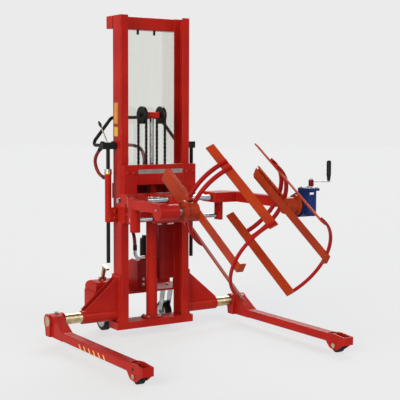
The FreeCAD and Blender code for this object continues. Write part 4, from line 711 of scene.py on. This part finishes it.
bolts("far_arm", "gearbox_cover_bolts", [(at, (1, 0, 0)) for at in cover], 8)
low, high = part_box("tilt_gearbox")
bolts("far_arm", "gearbox_lid_bolts",
      [((x, low.y + y, high.z), UP) for x in (0.409, 0.461) for y in (0.012, 0.092)], 8)
bolts("crank", "crank_nut", [((*CRANK, 1.038), UP)], 10)


# Small turned pieces, by radius and height in mm

NIPPLE = [(3.0, -1), (4.6, -1), (4.6, 3), (3.2, 3.6), (3.2, 7), (2.2, 8), (3.0, 10), (3.0, 11.5),
          (1.2, 13)]
PIN_CAP = [(4.0, 0.4), (13.0, 0.4), (13.0, 4.5), (11.0, 6.5), (10.6, 8.0), (10.6, 10.4),
           (9.0, 11.6), (2.0, 11.6)]
# a thin dark disc whose blackness is painted shade inside a hole
HOLE_SHADE_DISC = [(2.0, -0.2), (9.0, -0.2), (9.0, 0.8), (8.0, 1.2), (7.2, 0.7), (2.0, 0.5)]
FILLER_CAP = [(6.0, -6), (22.0, -6), (23.0, -5), (23.0, 3), (21.0, 5.5), (12.0, 5.5), (11.0, 9),
              (9.0, 10), (2.0, 10)]
BRASS_BAND = [(20.6, 0), (23.6, 0), (24.0, 1), (24.0, 11), (23.6, 12), (20.6, 12)]
RIM = [(8.5, 0.2), (53.0, 0.2), (53.0, 1.0), (49.0, 1.9), (44.0, 1.0), (27.0, 1.0), (23.0, 1.4),
       (21.0, 3.2), (13.0, 3.2), (12.0, 2.4), (8.5, 2.4)]
FIN = ((31.0, 0), (32.5, 0.8), (32.5, 3.2), (31.0, 4))
FINS = [(29.0, 0), (31.0, 0),
        *[(radius, 3 + 8 * i + rise) for i in range(15) for radius, rise in FIN],
        (31.0, 126), (29.0, 126)]


def middle(node):
    """The middle of a CAD node's box."""
    low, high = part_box(node)
    return (low + high) / 2


lathe("bearing_nipple", NIPPLE, facing((-0.540, PIVOT.y, PIVOT.z + 0.012), (-1, 0, 0)), bright,
      "near_arm", steps=16)
for side, s in SIDES:
    out = (s, 0, 0)
    lathe(f"sheave_pin_cap_{side}", PIN_CAP, facing((s * 0.0804, COLUMN, SHEAVE), out), iron,
          "lift_head")
    lathe(f"collar_band_{side}", BRASS_BAND, facing((s * POST_SIDE, POST, 1.034), UP), brass,
          "frame")
    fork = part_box(f"leg_beam_{side}")[0].y + 0.100
    # a thin dark disc on each leg's outer fork plate stands in for the shade inside a hole
    lathe(f"fork_hole_plug_{side}", HOLE_SHADE_DISC, facing((s * LEG_SIDE, fork, 0.080), out), iron,
          f"{side}_leg")
    wheel = middle(f"caster_wheel_{side}")
    for face, turn in (("inner", -s), ("outer", s)):
        rim = facing(wheel + Vector((turn * 0.022, 0, 0)), (turn, 0, 0))
        lathe(f"caster_rim_{side}_{face}", RIM, rim, bright, f"{side}_caster_wheel")
    bolts(f"{side}_caster", f"caster_axle_nuts_{side}",
          [(wheel + Vector((turn * 0.032, 0, 0)), (turn, 0, 0)) for turn in BOTH], 12)
tank = middle("oil_tank")
lathe("tank_filler_cap", FILLER_CAP, facing((tank.x, tank.y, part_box("oil_tank")[1].z), UP),
      plastic, "frame")
motor = middle("pump_motor")
motor_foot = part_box("pump_motor")[0].z + 0.008
lathe("motor_fins", FINS, facing((motor.x, motor.y, motor_foot), UP), iron, "frame")


# Weld beads

def welds(body, name, paths, radius=0.0035):
    """Painted weld beads on a body."""
    grow(name, WELD_RULE, *lines(paths), body, "red_paint", sharp=80, Bead_radius=radius,
         Finish=red)


def circle(centre, radius, axis):
    """A closed line round the X or Z axis."""
    points = around(centre, radius, axis, 48)
    return points + points[:1]


# outline of an upright on the sill, from the open side of the channel round its back
FOOT = ((0.198, 0), (0.242, 0), (0.2477, 0.0023), (MAST_SIDE, 0.008), (MAST_SIDE, 0.102),
        (0.2477, 0.1077), (0.242, 0.110), (0.198, 0.110))
FOOT_WELD = 0.101                      # level of the beads round the feet
SLEEVE_WELD = 0.262                    # from the middle to the beads on the sleeves' plates
SLEEVE_RADIUS = 0.0425
GUSSETS = (-0.028, 0.028)              # the gussets' middles, along Y from the shaft
GUSSET_FACES = (-0.004, 0.004)         # both faces of a gusset, from its middle
mast_welds = []
for s in BOTH:
    mast_welds.append(circle((s * SLEEVE_WELD, SHAFT, SHAFT_LEVEL), SLEEVE_RADIUS, "X"))
    for gusset in GUSSETS:
        for face in GUSSET_FACES:
            y = SHAFT + gusset + face
            mast_welds.append([(s * SLEEVE_WELD, y, z) for z in (0.196, 0.385)])
            mast_welds.append([(s * x, y, 0.180) for x in (0.268, 0.478)])
    mast_welds.append([(s * x, MAST + y, FOOT_WELD) for x, y in FOOT])
    mast_welds.append([(s * MAST_SIDE, MAST + 0.111, z) for z in (1.944, 2.018)])
welds("frame", "mast_welds", mast_welds)

STAVE_TURNS = (-57, 0, 57)             # degrees round the jaw
STAVE_RADIUS = 0.2995                  # from the middle of the jaws to the beads
STAVE_WELD = 0.022                     # half the length of a bead across a stave
HOOPS = ((0.025, 0.018), (0.080, 0.018), (-0.448, 0.014))      # place along the jaw, width
for side, s in SIDES:
    cage_welds = []
    for turn in STAVE_TURNS:
        spin = Matrix.Rotation(math.radians(turn), 4, "Y")
        for along, width in HOOPS:
            for edge in (-width / 2, width / 2):
                span = [spin @ Vector((-STAVE_RADIUS, along + edge, z))
                        for z in (-STAVE_WELD, STAVE_WELD)]
                cage_welds.append([JAW @ Vector((-s * p.x, p.y, p.z)) for p in span])
    welds(f"{side}_jaw", f"cage_welds_{side}", cage_welds, radius=0.003)

welds("near_arm", "near_arm_welds", [circle((-0.511, MAST - 0.652, 0.884), 0.0295, "Z")])
welds("carriage", "carriage_welds",
      [[(s * 0.170, CARRIAGE, z) for z in span] for s in BOTH
       for span in ((0.972, 1.092), (0.852, 0.912), (0.737, 0.799))], radius=0.003)


# Bare plates and marking film

for label, z, height, tone in (("tall", 1.414, 0.140, amber), ("short", 1.300, 0.068, yellow)):
    place = facing((-MAST_SIDE, MAST + 0.066, z), (-1, 0, 0))
    plate(f"upright_film_{label}_border", 0.064, height, 0.0005, 0.003, place, olive, "frame")
    plate(f"upright_film_{label}", 0.046, height - 0.010, 0.0008, 0.002, place, tone, "frame")
plate("carriage_plate", 0.320, 0.027, 0.0012, 0.003, facing((0, CARRIAGE, 1.052), FRONT),
      aluminium, "carriage")
curved_plate("gearbox_plate", (*CRANK, 0.956), 31.0, 0.5, (-141, -100), 12, white, "far_arm")
grow("leg_marking_bars", BAR_RULE, [(-LEG_SIDE - BAR_FILM / 2, MAST - 0.360, 0.073)], [],
     "near_leg", Bar_height=0.028, Bar_width=0.014, Finish=pale_yellow)


# Floor, light and camera

def floor(radius=40, steps=96):
    """A wide round sheet of lit acrylic, as pale as the backdrop."""
    mesh = bpy.data.meshes.new("floor")
    rim = [(radius * math.cos(math.tau * i / steps), radius * math.sin(math.tau * i / steps), 0)
           for i in range(steps)]
    mesh.from_pydata(rim, [], [list(range(steps))])
    piece = place_in_scene("floor", mesh)
    mesh.materials.append(dress(
        new_finish("lit_acrylic_floor")[0], base_color=srgb("#6C6F76"), roughness=0.9,
        specular_ior_level=0.0, emission_color=srgb("#EBEBEB"), emission_strength=0.76))


def studio():
    """A white paper backdrop all round, under a dimmer ceiling."""
    world = bpy.data.worlds.new("studio")
    world.use_nodes = True
    tree = world.node_tree
    way = add(tree, "ShaderNodeTexCoord").outputs["Generated"]
    height = add(tree, "ShaderNodeSeparateXYZ", {0: way}).outputs["Z"]
    tone = mix(tree, spread(tree, height, 0.25, 0.6), srgb("#EBEBEB"), srgb("#808080"))
    feed(tree, tree.nodes["Background"].inputs["Color"], tone)
    bpy.context.scene.world = world


def lamp(name, towards, strength, softness, colour):
    """A distant studio lamp: the way towards it, and the angle in degrees that it fills."""
    light = bpy.data.lights.new(name, "SUN")
    light.energy = strength
    light.angle = math.radians(softness)
    light.color = colour
    piece = place_in_scene(name, light)
    piece.rotation_euler = Vector(towards).to_track_quat("Z", "Y").to_euler()


floor()
studio()
lamp("key_left", (-0.80, -0.30, 0.52), 2.9, 40, (1.0, 0.90, 0.60))
lamp("fill_front", (0.25, -0.80, 0.58), 1.2, 40, (0.98, 0.95, 1.0))
lamp("edge_left", (-0.83, -0.53, 0.10), 0.9, 18, (1.0, 0.84, 0.66))
lamp("fill_back", (0.55, 0.62, 0.58), 1.9, 30, (1.0, 0.97, 0.94))
bpy.context.scene.view_settings.view_transform = "Standard"

# The camera that took the photo, as fitted to it: angles in degrees, lens and sensor in mm
CAMERA_AT = (-3.18961, MAST - 5.50487, 1.41064)
PAN, DIP, ROLL = -32.6147, 4.89621, 0.2289
camera = bpy.data.cameras.new("photo_view")
camera.lens = 90.212
camera.sensor_width = 36
viewer = place_in_scene("photo_view", camera)
viewer.matrix_world = (Matrix.Translation(CAMERA_AT)
                       @ Matrix.Rotation(math.radians(PAN), 4, "Z")
                       @ Matrix.Rotation(math.radians(90 - DIP), 4, "X")
                       @ Matrix.Rotation(math.radians(ROLL), 4, "Z"))
bpy.context.scene.camera = viewer
